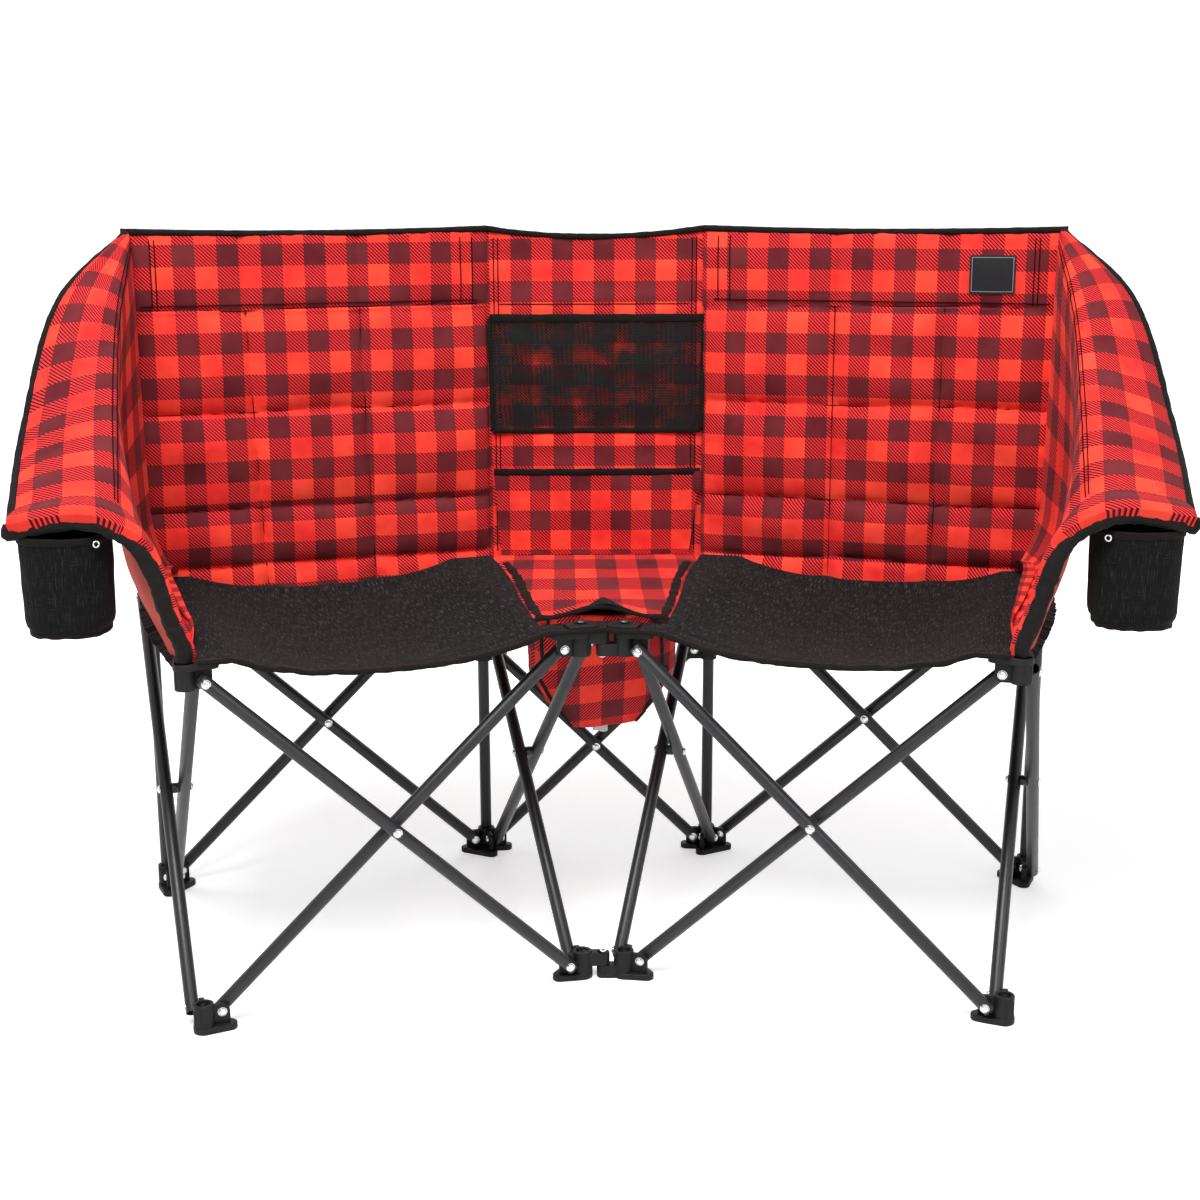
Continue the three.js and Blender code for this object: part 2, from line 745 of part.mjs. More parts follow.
function addSideBack(half) {
  const inner = -sleeveRadius;
  const outer = cornerSpan + sleeveRadius;
  const base = seatHeight;
  const alongLines = [inner, quiltSeamOne, quiltSeamTwo, outer].map((x) => (x - inner) / (outer - inner));
  const heights = [base, lowSeamHeight, midSeamHeight, bandBottom, clothTop];
  const heightLines = heights.map((z) => (z - base) / (clothTop - base));
  const point = (s, t) => {
    const along = mix(inner, outer, s);
    const bottom = seatRearHeight(along);
    const top = clothTop - topDip * hump(s);
    const plain = mix(base, clothTop, t);
    const z = plain + mix(bottom - base, top - clothTop, t);
    return half.at(along, backDeep, z);
  };
  const lift = (s, t) => quiltCrown * cellHump(alongLines, s) * cellHump(heightLines, t);
  const cloth = sheet(
    quiltShares(alongLines), quiltShares(heightLines), point, backThickness, lift, half.side < 0,
  );
  let solid = toManifold(cloth);
  for (const along of [0, cornerSpan]) {
    const place = half.at(along, cornerSpan, 0);
    const sleeve = rod(sleeveRadius, 0, bandBottom, clothTop).translate(place.x, place.y, 0);
    solid = solid.add(toManifold(sleeve));
  }
  for (const along of [0, cornerSpan]) {
    const place = half.at(along, cornerSpan, 0);
    const bore = rod(boreRadius, 0, hubTopHeight, postTop + clearance).translate(place.x, place.y, 0);
    solid = solid.subtract(toManifold(bore));
  }
  addMesh(`back_${half.label}`, toGeometry(solid), 'plaid', 0.9);
}

// Middle of the back, its pockets and the label patch

const postPlace = halves[1].at(0, cornerSpan, 0);
const centreDeep = postPlace.y - boreRadius - centreThickness / 2;
const centreReach = halves[1].at(-sleeveRadius, backDeep - backThickness / 2, 0).x - clearance;

function centrePoint(s, t) {
  const bottom = seatHeight + seatThickness / 2 + clearance;
  const top = clothTop - centreDip * hump(s);
  return new THREE.Vector3(mix(-centreReach, centreReach, s), centreDeep, mix(bottom, top, t));
}

function addCentreBack() {
  const lift = (s, t) => centreCrown * hump(s) * hump(t);
  const cloth = sheet(
    evenShares(centreColumns), evenShares(centreRows), centrePoint, centreThickness, lift, false,
  );
  addMesh('back_centre', cloth, 'plaid', 0.9);
}

// A pocket is open at its top: a front wall with closed sides and bottom, in front of the back.
function pocket(reach, bottom, top) {
  const backPlane = centreDeep - centreThickness / 2 - centreCrown - clearance;
  const depth = pocketDepth + pocketThickness;
  const height = top - bottom;
  const middle = (top + bottom) / 2;
  const outer = box(2 * reach, depth, height, 0, backPlane - depth / 2, middle);
  const innerReach = reach - pocketThickness;
  const hollow = box(
    2 * innerReach, pocketDepth + overrun, height, 0,
    backPlane - pocketDepth / 2 + overrun / 2, middle + pocketThickness,
  );
  const mouth = box(2 * innerReach, pocketDepth + overrun, height, 0,
    backPlane - pocketDepth / 2 + overrun / 2, middle + height / 2);
  return toManifold(outer).subtract(toManifold(hollow)).subtract(toManifold(mouth));
}

function addPockets() {
  const reach = centreReach - pocketSideInset;
  addMesh('mesh_pocket', toGeometry(pocket(reach, meshBottom, meshTop)), 'mesh', 0.9);
  const slipBottom = seatHeight + seatThickness / 2 + 2 * clearance;
  const slip = pocket(reach, slipBottom, slipTop);
  const face = centreDeep - centreThickness / 2 - centreCrown - clearance - pocketDepth - pocketThickness;
  const strapMiddle = reach - strapLap + strapWidth / 2;
  const strap = box(
    strapWidth, strapThickness + pocketThickness / 2, strapLength, strapMiddle,
    face + (pocketThickness / 2 - strapThickness) / 2, slipTop - strapLength / 2,
  );
  addMesh('slip_pocket', toGeometry(slip.add(toManifold(strap))), 'plaid', 0.9);
}

function addLabelPatch() {
  const half = halves[1];
  const plate = box(labelWidth, labelThickness, labelHeight, 0, 0, 0);
  plate.rotateZ(Math.atan2(half.out.y, half.out.x));
  const crownThere = quiltCrown * hump(1 / cellSteps) ** 2;
  const face = backDeep - backThickness / 2 - crownThere;
  const deep = face - clearance - labelThickness / 2;
  const middle = bandBottom + labelLift + labelHeight / 2;
  addMesh('label_patch', plate, 'heather', 0.8).position.copy(half.at(labelAlong, deep, middle));
}

// Arms

function armStation(half, index) {
  const deep = armDeepShares[index] * cornerSpan;
  const wall = half.at(cornerSpan - armWallInset, deep, clothHeight + armFootLift);
  const seam = half.at(
    armSeamAlongShares[index] * cornerSpan, deep, armSeamHeightShares[index] * clothTop,
  );
  const rim = half.at(
    armRimAlongShares[index] * cornerSpan,
    armRimDeepShares[index] * cornerSpan,
    armRimHeightShares[index] * clothTop,
  );
  return { wall, seam, rim };
}

// The sheet runs from the seat's side up to the seam and out to the rim. Its last station is the arm
// post itself, so that the cloth ends in the sleeve around it.
function armPoint(half, curve, s, t) {
  const startShare = (-armPostHeights[0] + clearance) / curve.getLength();
  const stations = [0, 1, 2].map((index) => {
    const { wall, seam, rim } = armStation(half, index);
    if (s <= armSeamShare) {
      const local = s / armSeamShare;
      const crown = armWallCrowns[index] * hump(local ** armWallSkew);
      const bulge = half.out.clone().multiplyScalar(crown);
      return wall.lerp(seam, local).add(bulge);
    }
    const local = (s - armSeamShare) / (1 - armSeamShare);
    const place = seam.lerp(rim, local);
    place.z += armWingCrown * hump(local);
    return place;
  });
  stations.push(curve.getPointAt(mix(startShare, 1, s)));
  return new THREE.CatmullRomCurve3(stations, false, 'centripetal').getPoint(t);
}

function addArm(half) {
  const curve = armPostCurve(half);
  const point = (s, t) => armPoint(half, curve, s, t);
  const columns = [
    ...evenShares(armWallColumns).map((s) => s * armSeamShare),
    ...evenShares(armWingColumns).slice(1).map((s) => mix(armSeamShare, 1, s)),
  ];
  const cloth = sheet(columns, evenShares(armRows), point, armThickness, null, half.side > 0);
  const longer = armPostCurve(half, tubeRadius);
  const sleeve = toManifold(alongCurve(longer, sleeveRadius, 0));
  const below = box(cornerSpan, cornerSpan, cornerSpan, 0, 0, clothHeight - cornerSpan / 2);
  const foot = half.at(...corners.front_outer, 0);
  below.translate(foot.x, foot.y, 0);
  const bore = toManifold(alongCurve(curve, boreRadius, 0));
  const solid = toManifold(cloth).add(sleeve).subtract(toManifold(below)).subtract(bore);
  addMesh(`arm_${half.label}`, toGeometry(solid), 'plaid', 0.9);
}

// Drink holders

// The rim hangs just under the sleeve, whose underside is lowest at one end of the stretch above it.
function cupRimHeight(half, foot) {
  const under = Math.sqrt(cupRadius ** 2 - (cupRadius - sleeveRadius) ** 2);
  const above = armPostCurve(half).getSpacedPoints(armPostSteps ** 2)
    .filter((place) => Math.abs(Math.abs(place.x - foot.x) - cupReach) < under);
  return Math.min(...above.map((place) => place.z)) - sleeveRadius - cupDrop;
}

function addDrinkHolder(half) {
  const profile = [
    new THREE.Vector2(0, 0),
    new THREE.Vector2(cupFootRadius, 0),
    new THREE.Vector2(cupRadius, cupHeight),
    new THREE.Vector2(cupRadius - cupWall, cupHeight),
    new THREE.Vector2(cupFootRadius - cupWall, cupWall),
    new THREE.Vector2(0, cupWall),
  ];
  const cup = new THREE.LatheGeometry(profile, cupSides).rotateX(Math.PI / 2);
  const foot = half.at(...corners.front_outer, 0);
  const mesh = addMesh(`drink_holder_${half.label}`, cup, 'heather', 0.95);
  mesh.position.set(
    foot.x + half.side * cupReach,
    foot.y - sleeveRadius + cupRadius,
    cupRimHeight(half, foot) - cupHeight,
  );
}

// Cooler bag and its lid

function bagRing(level, width, height, inset) {
  const points = [];
  const reach = width / 2 - inset;
  const nearSide = bagFrontShares[level] * cornerSpan + inset;
  const farSide = bagBackShares[level] * cornerSpan - inset;
  const corner = bagCornerShare * Math.min(reach, (farSide - nearSide) / 2);
  const quarter = [[1, 1], [-1, 1], [-1, -1], [1, -1]];
  for (let turn = 0; turn < quarter.length; turn += 1) {
    const [right, far] = quarter[turn];
    for (let step = 0; step <= bagCornerSteps; step += 1) {
      const angle = (Math.PI / 2) * (turn + step / bagCornerSteps);
      points.push(new THREE.Vector3(
        right * (reach - corner) + corner * Math.cos(angle),
        (far > 0 ? farSide - corner : nearSide + corner) + corner * Math.sin(angle),
        height,
      ));
    }
  }
  return points;
}

// A stack of rings with the same count of points, closed at both ends.
function loft(rings) {
  const count = rings[0].length;
  const points = rings.flat();
  const indices = [];
  for (let ring = 0; ring < rings.length - 1; ring += 1) {
    for (let index = 0; index < count; index += 1) {
      const next = (index + 1) % count;
      const [a, b] = [ring * count + index, ring * count + next];
      indices.push(a, b, b + count, a, b + count, a + count);
    }
  }
  const top = (rings.length - 1) * count;
  for (let index = 1; index < count - 1; index += 1) {
    indices.push(0, index + 1, index);
    indices.push(top, top + index, top + index + 1);
  }
  const geometry = new THREE.BufferGeometry();
  geometry.setAttribute('position', new THREE.Float32BufferAttribute(points.flatMap((p) => p.toArray()), 3));
  geometry.setIndex(indices);
  geometry.computeVertexNormals();
  return geometry;
}

function addCoolerBag() {
  const top = hubTopHeight;
  const rings = (inset, rise, floor) => [
    bagRing('foot', bagFootWidth, top - bagDepth + floor, inset),
    bagRing('waist', bagWaistWidth, top - bagWaist + floor, inset),
    bagRing('hip', bagBellyWidth, top - bagHip + floor, inset),
    bagRing('belly', bagBellyWidth, top - bagBelly + floor, inset),
    bagRing('top', bagTopWidth, top + rise, inset),
  ];
  const outer = toManifold(loft(rings(0, 0, 0)));
  const inner = toManifold(loft(rings(bagWall, overrun, bagWall)));
  addMesh('cooler_bag', toGeometry(outer.subtract(inner)), 'plaid', 0.9);
}

function addCoolerLid() {
  const half = halves[1];
  const front = lidFrontShare * cornerSpan;
  const back = centreDeep - centreThickness / 2 - centreCrown - clearance;
  const edgeAt = (y) => {
    const deep = y / Math.cos(toeIn);
    const along = seatInnerAlong((deep + hemLead) / seatLength);
    return half.at(along, deep, 0).x - lidSideGap;
  };
  const point = (s, t) => {
    const y = mix(front, back, t);
    const nearFront = Math.max(0, 1 - t / lidLiftShare);
    const rise = lidLift * nearFront * hump(s) ** lidPeakPower;
    const ripple = lidRipple * (1 - Math.cos(2 * Math.PI * lidRipples * t)) / 2;
    return new THREE.Vector3(mix(-1, 1, s) * edgeAt(y), y, seatHeight + rise + ripple * hump(s));
  };
  const cloth = sheet(evenShares(lidColumns), evenShares(lidRows), point, seatThickness, null, false);
  addMesh('cooler_lid', cloth, 'plaid', 0.9);
}

// The whole chair, moved so that its footprint is centred

for (const half of halves) {
  addFeetAndHubs(half);
  addCrosses(half);
  addBackPosts(half);
  addArmPost(half);
  addSeat(half);
  addSideBack(half);
  addArm(half);
  addDrinkHolder(half);
}
addMiddleCross();
addSliders();
addLinkPins();
addCentreBack();
addPockets();
addLabelPatch();
addCoolerBag();
addCoolerLid();

const bounds = new THREE.Box3().setFromObject(chair);
const centre = bounds.getCenter(new THREE.Vector3());
chair.position.set(-centre.x, -centre.y, -bounds.min.z);

const group = new THREE.Group();
group.add(chair);

export default group;
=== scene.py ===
"""Folding camping loveseat: black tube frame with a quilted red and black plaid cover."""
import json
import math

import bmesh
import bpy
import numpy as np
from mathutils import Matrix, Quaternion, Vector, noise


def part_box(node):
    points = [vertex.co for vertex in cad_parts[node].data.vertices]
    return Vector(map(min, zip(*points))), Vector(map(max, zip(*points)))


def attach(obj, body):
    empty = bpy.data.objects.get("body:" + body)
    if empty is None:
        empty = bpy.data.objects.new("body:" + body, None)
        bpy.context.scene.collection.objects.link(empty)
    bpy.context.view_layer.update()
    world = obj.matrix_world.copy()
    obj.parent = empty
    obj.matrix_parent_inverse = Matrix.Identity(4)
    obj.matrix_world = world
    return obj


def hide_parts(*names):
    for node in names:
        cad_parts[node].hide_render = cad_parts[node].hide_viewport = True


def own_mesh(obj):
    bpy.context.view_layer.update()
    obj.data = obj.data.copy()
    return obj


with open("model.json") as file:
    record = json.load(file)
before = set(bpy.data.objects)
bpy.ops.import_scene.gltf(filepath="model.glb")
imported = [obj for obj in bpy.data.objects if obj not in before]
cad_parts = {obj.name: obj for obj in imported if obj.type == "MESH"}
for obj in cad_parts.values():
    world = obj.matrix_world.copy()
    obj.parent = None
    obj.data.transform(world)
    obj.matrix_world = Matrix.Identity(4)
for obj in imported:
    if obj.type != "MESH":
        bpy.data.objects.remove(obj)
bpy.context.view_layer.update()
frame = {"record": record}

body_of = {node: body for body, nodes in frame["record"]["behaviour"]["bodies"].items() for node in nodes}

# ---------------------------------------------------------------- Studio
# A white floor that runs on into a white backdrop, with soft light from above the camera and from
# both sides. The camera stands a little over two metres in front of the seat, just above the back.

scene = bpy.context.scene


def place_new(name, data):
    thing = bpy.data.objects.new(name, data)
    scene.collection.objects.link(thing)
    return thing


def aim(thing, way, roll=0.0):
    thing.rotation_mode = "QUATERNION"
    thing.rotation_quaternion = way.to_track_quat("-Z", "Y") @ Quaternion((0, 0, 1), roll)


camera = place_new("camera", bpy.data.cameras.new("camera"))
scene.camera = camera
camera.data.lens = 53.17
camera.data.sensor_width = 36
camera.location = (-0.0449, -2.2031, 0.9571)
yaw, dip = 0.0204868, 0.2280824
aim(camera, Vector((math.sin(yaw) * math.cos(dip), math.cos(yaw) * math.cos(dip), -math.sin(dip))), -0.0021252)
scene.view_settings.view_transform = "Standard"


class Wire:
    """One value in a material, so that shader maths is written as plain arithmetic."""

    def __init__(self, finish, socket):
        self.finish = finish
        self.socket = socket

    def maths(self, operation, *values):
        return self.finish.put("Math", {"operation": operation}, dict(enumerate(values)))

    def __add__(self, other): return self.maths("ADD", self, other)
    def __radd__(self, other): return self.maths("ADD", other, self)
    def __sub__(self, other): return self.maths("SUBTRACT", self, other)
    def __rsub__(self, other): return self.maths("SUBTRACT", other, self)
    def __mul__(self, other): return self.maths("MULTIPLY", self, other)
    def __truediv__(self, other): return self.maths("DIVIDE", self, other)
    def __lt__(self, other): return self.maths("LESS_THAN", self, other)
    def __gt__(self, other): return self.maths("GREATER_THAN", self, other)
    def __mod__(self, other): return self.maths("FLOORED_MODULO", self, other)
    def __abs__(self): return self.maths("ABSOLUTE", self)


class Finish:
    """A material on its piece's own coordinates or, if woven, on those of its cloth."""

    def __init__(self, name, woven=False, **plain):
        self.material = bpy.data.materials.new(name)
        self.material.use_nodes = True
        self.nodes = self.material.node_tree.nodes
        self.shader = self.nodes["Principled BSDF"]
        self.place = self.put("UVMap", {"uv_map": "weave"}) if woven else self.put("TexCoord", output=3)
        self.wear(**plain)

    def join(self, socket, value):
        if isinstance(value, Wire):
            self.material.node_tree.links.new(value.socket, socket)
        else:
            socket.default_value = value

    def put(self, kind, settings=None, sockets=None, output=0):
        """Adds one node with its settings and sockets."""
        node = self.nodes.new("ShaderNode" + kind)
        for key, value in (settings or {}).items():
            setattr(node, key, value)
        for key, value in (sockets or {}).items():
            self.join(node.inputs[key], value)
        return Wire(self, node.outputs[output])

    def wear(self, **sockets):
        """Feeds the shader."""
        for name, value in sockets.items():
            self.join(self.shader.inputs[name.replace("_", " ")], value)

    def cover(self, share, dark, light, roughness, height, depth, strength):
        """The common look: a colour that drifts from dark to light, with a fine relief."""
        self.wear(Base_Color=self.mix(share, dark, light), Roughness=roughness,
                  Normal=self.bump(height, depth, strength))

    def mix(self, share, first, second):
        """A colour between two others."""
        first, second = [(*colour, 1) if isinstance(colour, tuple) else colour for colour in (first, second)]
        return self.put("Mix", {"data_type": "RGBA"}, {0: share, 6: first, 7: second}, output=2)

    def spread(self, value, low, high, least=0.0, most=1.0):
        """Runs from least to most while the value runs from low to high."""
        return self.put("MapRange", None, {0: value, 1: low, 2: high, 3: least, 4: most})

    def grain(self, scale, detail=2.0, roughness=0.5, stretch=(1, 1, 1)):
        """Noise between 0 and 1, finer along an axis whose stretch is larger."""
        moved = self.put("Mapping", None, {"Vector": self.place, "Scale": stretch})
        sockets = {"Vector": moved, "Scale": scale, "Detail": detail, "Roughness": roughness}
        return self.put("TexNoise", None, sockets)

    def bump(self, height, depth, strength):
        return self.put("Bump", None, {"Height": height, "Distance": depth, "Strength": strength})

    def split(self):
        return [self.put("SeparateXYZ", None, {0: self.place}, output=axis) for axis in range(3)]


bpy.ops.mesh.primitive_plane_add(size=14, location=(0, 0, 0))
floor = bpy.context.object
floor.name = "studio_floor"
bpy.ops.object.mode_set(mode="EDIT")
bpy.context.tool_settings.mesh_select_mode = (False, True, False)
sweep = bmesh.from_edit_mesh(floor.data)
for edge in sweep.edges:
    edge.select_set(all(v.co.y > 6 for v in edge.verts))
bmesh.update_edit_mesh(floor.data)
bpy.ops.mesh.extrude_region_move(TRANSFORM_OT_translate={"value": (0, 0, 6)})
bpy.ops.object.mode_set(mode="OBJECT")

white_floor = Finish("studio_white", Base_Color=(0.86, 0.86, 0.86, 1), Roughness=0.9, Emission_Strength=1.0)
seen = white_floor.put("LightPath")
shown = seen.maths("MAXIMUM", seen, white_floor.put("LightPath", output=3))
distance = white_floor.spread(white_floor.split()[1], 0.4, 2.4)
glow = white_floor.mix(distance, (0.5, 0.5, 0.5), (0.9, 0.9, 0.9))
white_floor.wear(Emission_Color=white_floor.mix(shown, (0, 0, 0), glow))
floor.data.materials.append(white_floor.material)

world = bpy.data.worlds.new("studio")
scene.world = world
world.use_nodes = True
sky = world.node_tree.nodes["Background"]
path = world.node_tree.nodes.new("ShaderNodeLightPath")
level = world.node_tree.nodes.new("ShaderNodeMapRange")
level.inputs["To Min"].default_value = 0.47
level.inputs["To Max"].default_value = 1.0
world.node_tree.links.new(path.outputs["Is Camera Ray"], level.inputs["Value"])
world.node_tree.links.new(level.outputs["Result"], sky.inputs["Strength"])
sky.inputs["Color"].default_value = (1, 1, 1, 1)

for name, location, size, power in [
    ("key", (-0.8, -1.95, 3.7), 1.8, 185),
    ("fill", (1.9, -2.7, 2.3), 2.0, 34),
    ("back", (0.4, 2.6, 2.6), 2.6, 30),
]:
    lamp = place_new(name, bpy.data.lights.new(name, "AREA"))
    lamp.data.size = size
    lamp.data.energy = power
    lamp.location = location
    aim(lamp, Vector((0, 0, 0.5)) - lamp.location)

# ---------------------------------------------------------------- Cross tubes
# Eighteen steel tubes of 16 mm, powder coated in satin black, sawn square at the ends. They cross in
# pairs on a spacer and a rivet, and each end turns on a rivet through a plastic tab.

pin_low, pin_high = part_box("foot_link_pin")
middle = (pin_low + pin_high) / 2
toe_in = math.radians(17.3)
middle_inset = 0.026
span = 0.463
pivot_inset = 0.021
foot_pivot = 0.023
hub_pivot = 0.423
slider_pivot = 0.304
tube_offset = 0.0113
tube_radius = 0.008
tube_wall = 0.0011
quarter = math.radians(90)
upward = Vector((0, 0, 1))
sides = {"left": -1, "right": 1}
squares = {"front_inner": (0, 0), "front_outer": (span, 0), "rear_inner": (0, span), "rear_outer": (span, span)}


def outward(side):
    return Vector((sides[side] * math.cos(toe_in), -math.sin(toe_in), 0))


def rearward(side):
    return Vector((sides[side] * math.sin(toe_in), math.cos(toe_in), 0))


def at(side, along, deep, height):
    """A place in the plan of one half: along runs outward from its front inner corner, deep runs back."""
    corner = Vector((sides[side] * middle_inset, middle.y, height))
    return corner + outward(side) * along + rearward(side) * deep


def choose(*pieces):
    """Selects these pieces alone and makes the first one active."""
    bpy.ops.object.select_all(action="DESELECT")
    for piece in pieces:
        piece.select_set(True)
    bpy.context.view_layer.objects.active = pieces[0]


def settle():
    """The piece just added, with its place and size worked into its mesh."""
    bpy.ops.object.transform_apply(location=True, rotation=True, scale=True)
    return bpy.context.object


def add_round(radius, depth, centre, count=28, turn=(0, 0, 0)):
    bpy.ops.mesh.primitive_cylinder_add(vertices=count, radius=radius, depth=depth, location=centre, rotation=turn)
    return settle()


def add_block(size, centre):
    bpy.ops.mesh.primitive_cube_add(size=1, location=centre, scale=size)
    return settle()


def select_all():
    bpy.ops.mesh.select_all(action="SELECT")


def edit(piece):
    choose(piece)
    bpy.ops.object.mode_set(mode="EDIT")
    select_all()


def leave():
    bpy.ops.object.mode_set(mode="OBJECT")


def pick(piece, kind, wanted):
    """Selects, in edit mode, the "faces" for which wanted(centre, normal) holds, or the "edges" for
    which wanted(one end, other end) does."""
    bpy.context.tool_settings.mesh_select_mode = (False, kind == "edges", kind == "faces")
    shape = bmesh.from_edit_mesh(piece.data)
    if kind == "faces":
        items, chosen = shape.faces, [f for f in shape.faces if wanted(f.calc_center_median(), f.normal)]
    else:
        items, chosen = shape.edges, [e for e in shape.edges if wanted(e.verts[0].co, e.verts[1].co)]
    for item in items:
        item.select_set(False)
    for item in chosen:
        item.select_set(True)
    bmesh.update_edit_mesh(piece.data)


def bore(piece, wall, depth, facing=1):
    """Opens the end of a round piece: a ring of wall is left and the rest goes down by depth."""
    tops = [v.co.z for v in piece.data.vertices]
    end = max(tops) if facing > 0 else min(tops)
    edit(piece)
    pick(piece, "faces", lambda centre, normal: normal.z * facing > 0.9 and abs(centre.z - end) < 1e-5)
    bpy.ops.mesh.inset(thickness=wall)
    bpy.ops.mesh.extrude_region_move(TRANSFORM_OT_translate={"value": (0, 0, -depth * facing)})
    leave()


def smooth(piece, angle):
    """Shades a piece smooth, but for its edges sharper than the angle."""
    choose(piece)
    bpy.ops.object.shade_smooth_by_angle(angle=math.radians(angle))
    return piece


def soften(piece, width, steps=2, angle=40):
    """Rounds the sharp edges and shades the rest smooth."""
    choose(piece)
    rounding = piece.modifiers.new("rounding", "BEVEL")
    rounding.width = width
    rounding.segments = steps
    rounding.limit_method = "ANGLE"
    rounding.angle_limit = math.radians(angle)
    bpy.ops.object.modifier_apply(modifier=rounding.name)
    return smooth(piece, angle)


def merge(*pieces):
    choose(*pieces)
    bpy.ops.object.join()
    return pieces[0]


def copy_piece(master, name, place):
    """A copy with its own mesh, put in its place and the right way out if it is mirrored."""
    piece = place_new(name, master.data.copy())
    piece.data.transform(place)
    if place.determinant() < 0:
        piece.data.flip_normals()
    return piece


def dress(piece, name, body, slot, finish, *nodes):
    """Names a finished piece, gives it its finish, fixes it to its body and hides the CAD nodes it stands for."""
    piece.name = name
    piece.data.name = name
    if finish:
        piece.data.materials.clear()
        piece.data.materials.append(finish.material)
    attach(piece, body)
    if nodes:
        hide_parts(*nodes)
    return piece


def make_dome(radius, height, segments, rings):
    """The upper half of a ball, pressed flat and still in edit mode."""
    bpy.ops.mesh.primitive_uv_sphere_add(segments=segments, ring_count=rings, radius=radius)
    dome = bpy.context.object
    edit(dome)
    bpy.ops.mesh.bisect(plane_co=(0, 0, 0), plane_no=(0, 0, 1), use_fill=True, clear_inner=True)
    select_all()
    bpy.ops.transform.resize(value=(1, 1, height / radius))
    return dome


def make_head(radius, height, washer):
    """A pressed rivet head on a thin washer, pointing up from the origin."""
    head = make_dome(radius, height, 22, 12)
    pick(head, "faces", lambda centre, normal: centre.z > height * 0.9)
    bpy.ops.mesh.inset(thickness=radius * 0.03)
    bpy.ops.transform.translate(value=(0, 0, -height * 0.1))
    leave()
    ring = soften(add_round(washer, 0.0007, (0, 0, 0.00025), 24), 0.0002)
    return merge(smooth(head, 50), ring)


powder = Finish("satin_powder_coat", Specular_IOR_Level=0.34, Coat_Weight=0.06, Coat_Roughness=0.25)
rub = powder.grain(38, 5, 0.6)
powder.cover(rub, (0.012, 0.012, 0.0135), (0.021, 0.021, 0.023), 0.3 + rub * 0.16, powder.grain(900, 3), 0.00006, 0.5)

steel = Finish("bright_zinc_steel", Metallic=1.0)
dull = steel.grain(240, 3)
steel.cover(dull, (0.62, 0.62, 0.63), (0.86, 0.86, 0.85), 0.16 + dull * 0.2,
            steel.grain(700, 4, 0.6, (1, 1, 6)), 0.00003, 0.4)

rivet_head = make_head(0.0048, 0.0027, 0.0055)
rivet_radius = 0.0024
turn_out = Matrix.Rotation(quarter, 4, "Y")
turn_in = Matrix.Rotation(-quarter, 4, "Y")
tube_end = 0.0075
tube_near = 0.0073
tab_far = tube_offset + 0.003 + 0.0003
cross_far = 2 * tube_offset + tube_radius


def make_tube(length, carries_middle):
    """One cross tube standing on its low pivot, with its tabs on the -X side, and its rivets."""
    tube = add_round(tube_radius, length + 2 * tube_end, (0, 0, length / 2), 32)
    for facing in (1, -1):
        bore(tube, tube_wall, 0.03, facing)
    soften(tube, 0.0003, 2, 50)
    heads = []
    for height in (0, length):
        heads += [(turn_out, tube_near, height), (turn_in, -tab_far, height)]
    if carries_middle:
        heads += [(turn_out, tube_near, length / 2), (turn_in, -cross_far - 0.0001, length / 2)]
        depth = 2 * (tube_offset - tube_radius) + 0.002
        spacer = add_round(0.0065, depth, (-tube_offset, 0, length / 2), 24, (0, quarter, 0))
        tube = merge(tube, soften(spacer, 0.0004))
    shanks = [add_round(rivet_radius, tab_far, (-tab_far / 2, 0, height), 12, (0, quarter, 0))
              for height in (0, length)]
    rivets = [copy_piece(rivet_head, "head", Matrix.Translation((reach, 0, height)) @ turn)
              for turn, reach, height in heads]
    return tube, merge(*rivets, *shanks)


def tube_places(left, right, facing, high):
    """The places of the two tubes that cross between two corners, seen from outside the frame."""
    way = (right - left).normalized()
    near, far = left + way * pivot_inset, right - way * pivot_inset
    places = []
    for start, end, away in ((far, near, facing), (near, far, -facing)):
        low = Vector((start.x, start.y, foot_pivot))
        top = Vector((end.x, end.y, high))
        axis = (top - low).normalized()
        turn = Matrix((away, axis.cross(away), axis)).transposed().to_4x4()
        places.append(Matrix.Translation(low + away * tube_offset) @ turn)
    return places, (top - low).length


crosses = {}
for side, sign in sides.items():
    for name, first, second, facing in [
        ("front", "front_inner", "front_outer", -rearward(side)),
        ("outer", "front_outer", "rear_outer", outward(side)),
        ("rear", "rear_outer", "rear_inner", rearward(side)),
        ("inner", "rear_inner", "front_inner", -outward(side)),
    ]:
        ends = [at(side, *squares[corner], 0) for corner in (first, second)]
        crosses[f"{name}_cross_{side}"] = tube_places(*ends[::sign], facing, hub_pivot)
rear_corners = [at(side, 0, span, 0) for side in sides]
crosses["middle_cross"] = tube_places(*rear_corners, Vector((0, -1, 0)), slider_pivot)

masters = {}
for name, (places, length) in crosses.items():
    for letter, place in zip("ab", places):
        kind = (round(length, 4), letter)
        if kind not in masters:
            masters[kind] = make_tube(length, letter == "a")
        tube, rivets = masters[kind]
        node = f"{name}_tube_{letter}"
        dress(copy_piece(tube, node, place), f"{node}_coated", body_of[node], "black_tube", powder, node)
        dress(copy_piece(rivets, node, place), f"{node}_rivets", body_of[node], "steel", steel)


def put_away(*pieces):
    for piece in pieces:
        bpy.data.objects.remove(piece)


put_away(rivet_head, *[piece for pair in masters.values() for piece in pair])

# ---------------------------------------------------------------- Feet and hubs
# Glass filled nylon mouldings: a flange, a round socket for the post and one upright tab for each
# cross. The hubs are the same mouldings upside down, and their sockets slide or stop on the posts.

nylon = Finish("moulded_black_nylon", Specular_IOR_Level=0.2)
scuff = nylon.grain(60, 6, 0.65)
nylon.cover(scuff, (0.006, 0.006, 0.006), (0.015, 0.0148, 0.0146), 0.42 + scuff * 0.25,
            nylon.grain(1400, 3), 0.0001, 0.6)

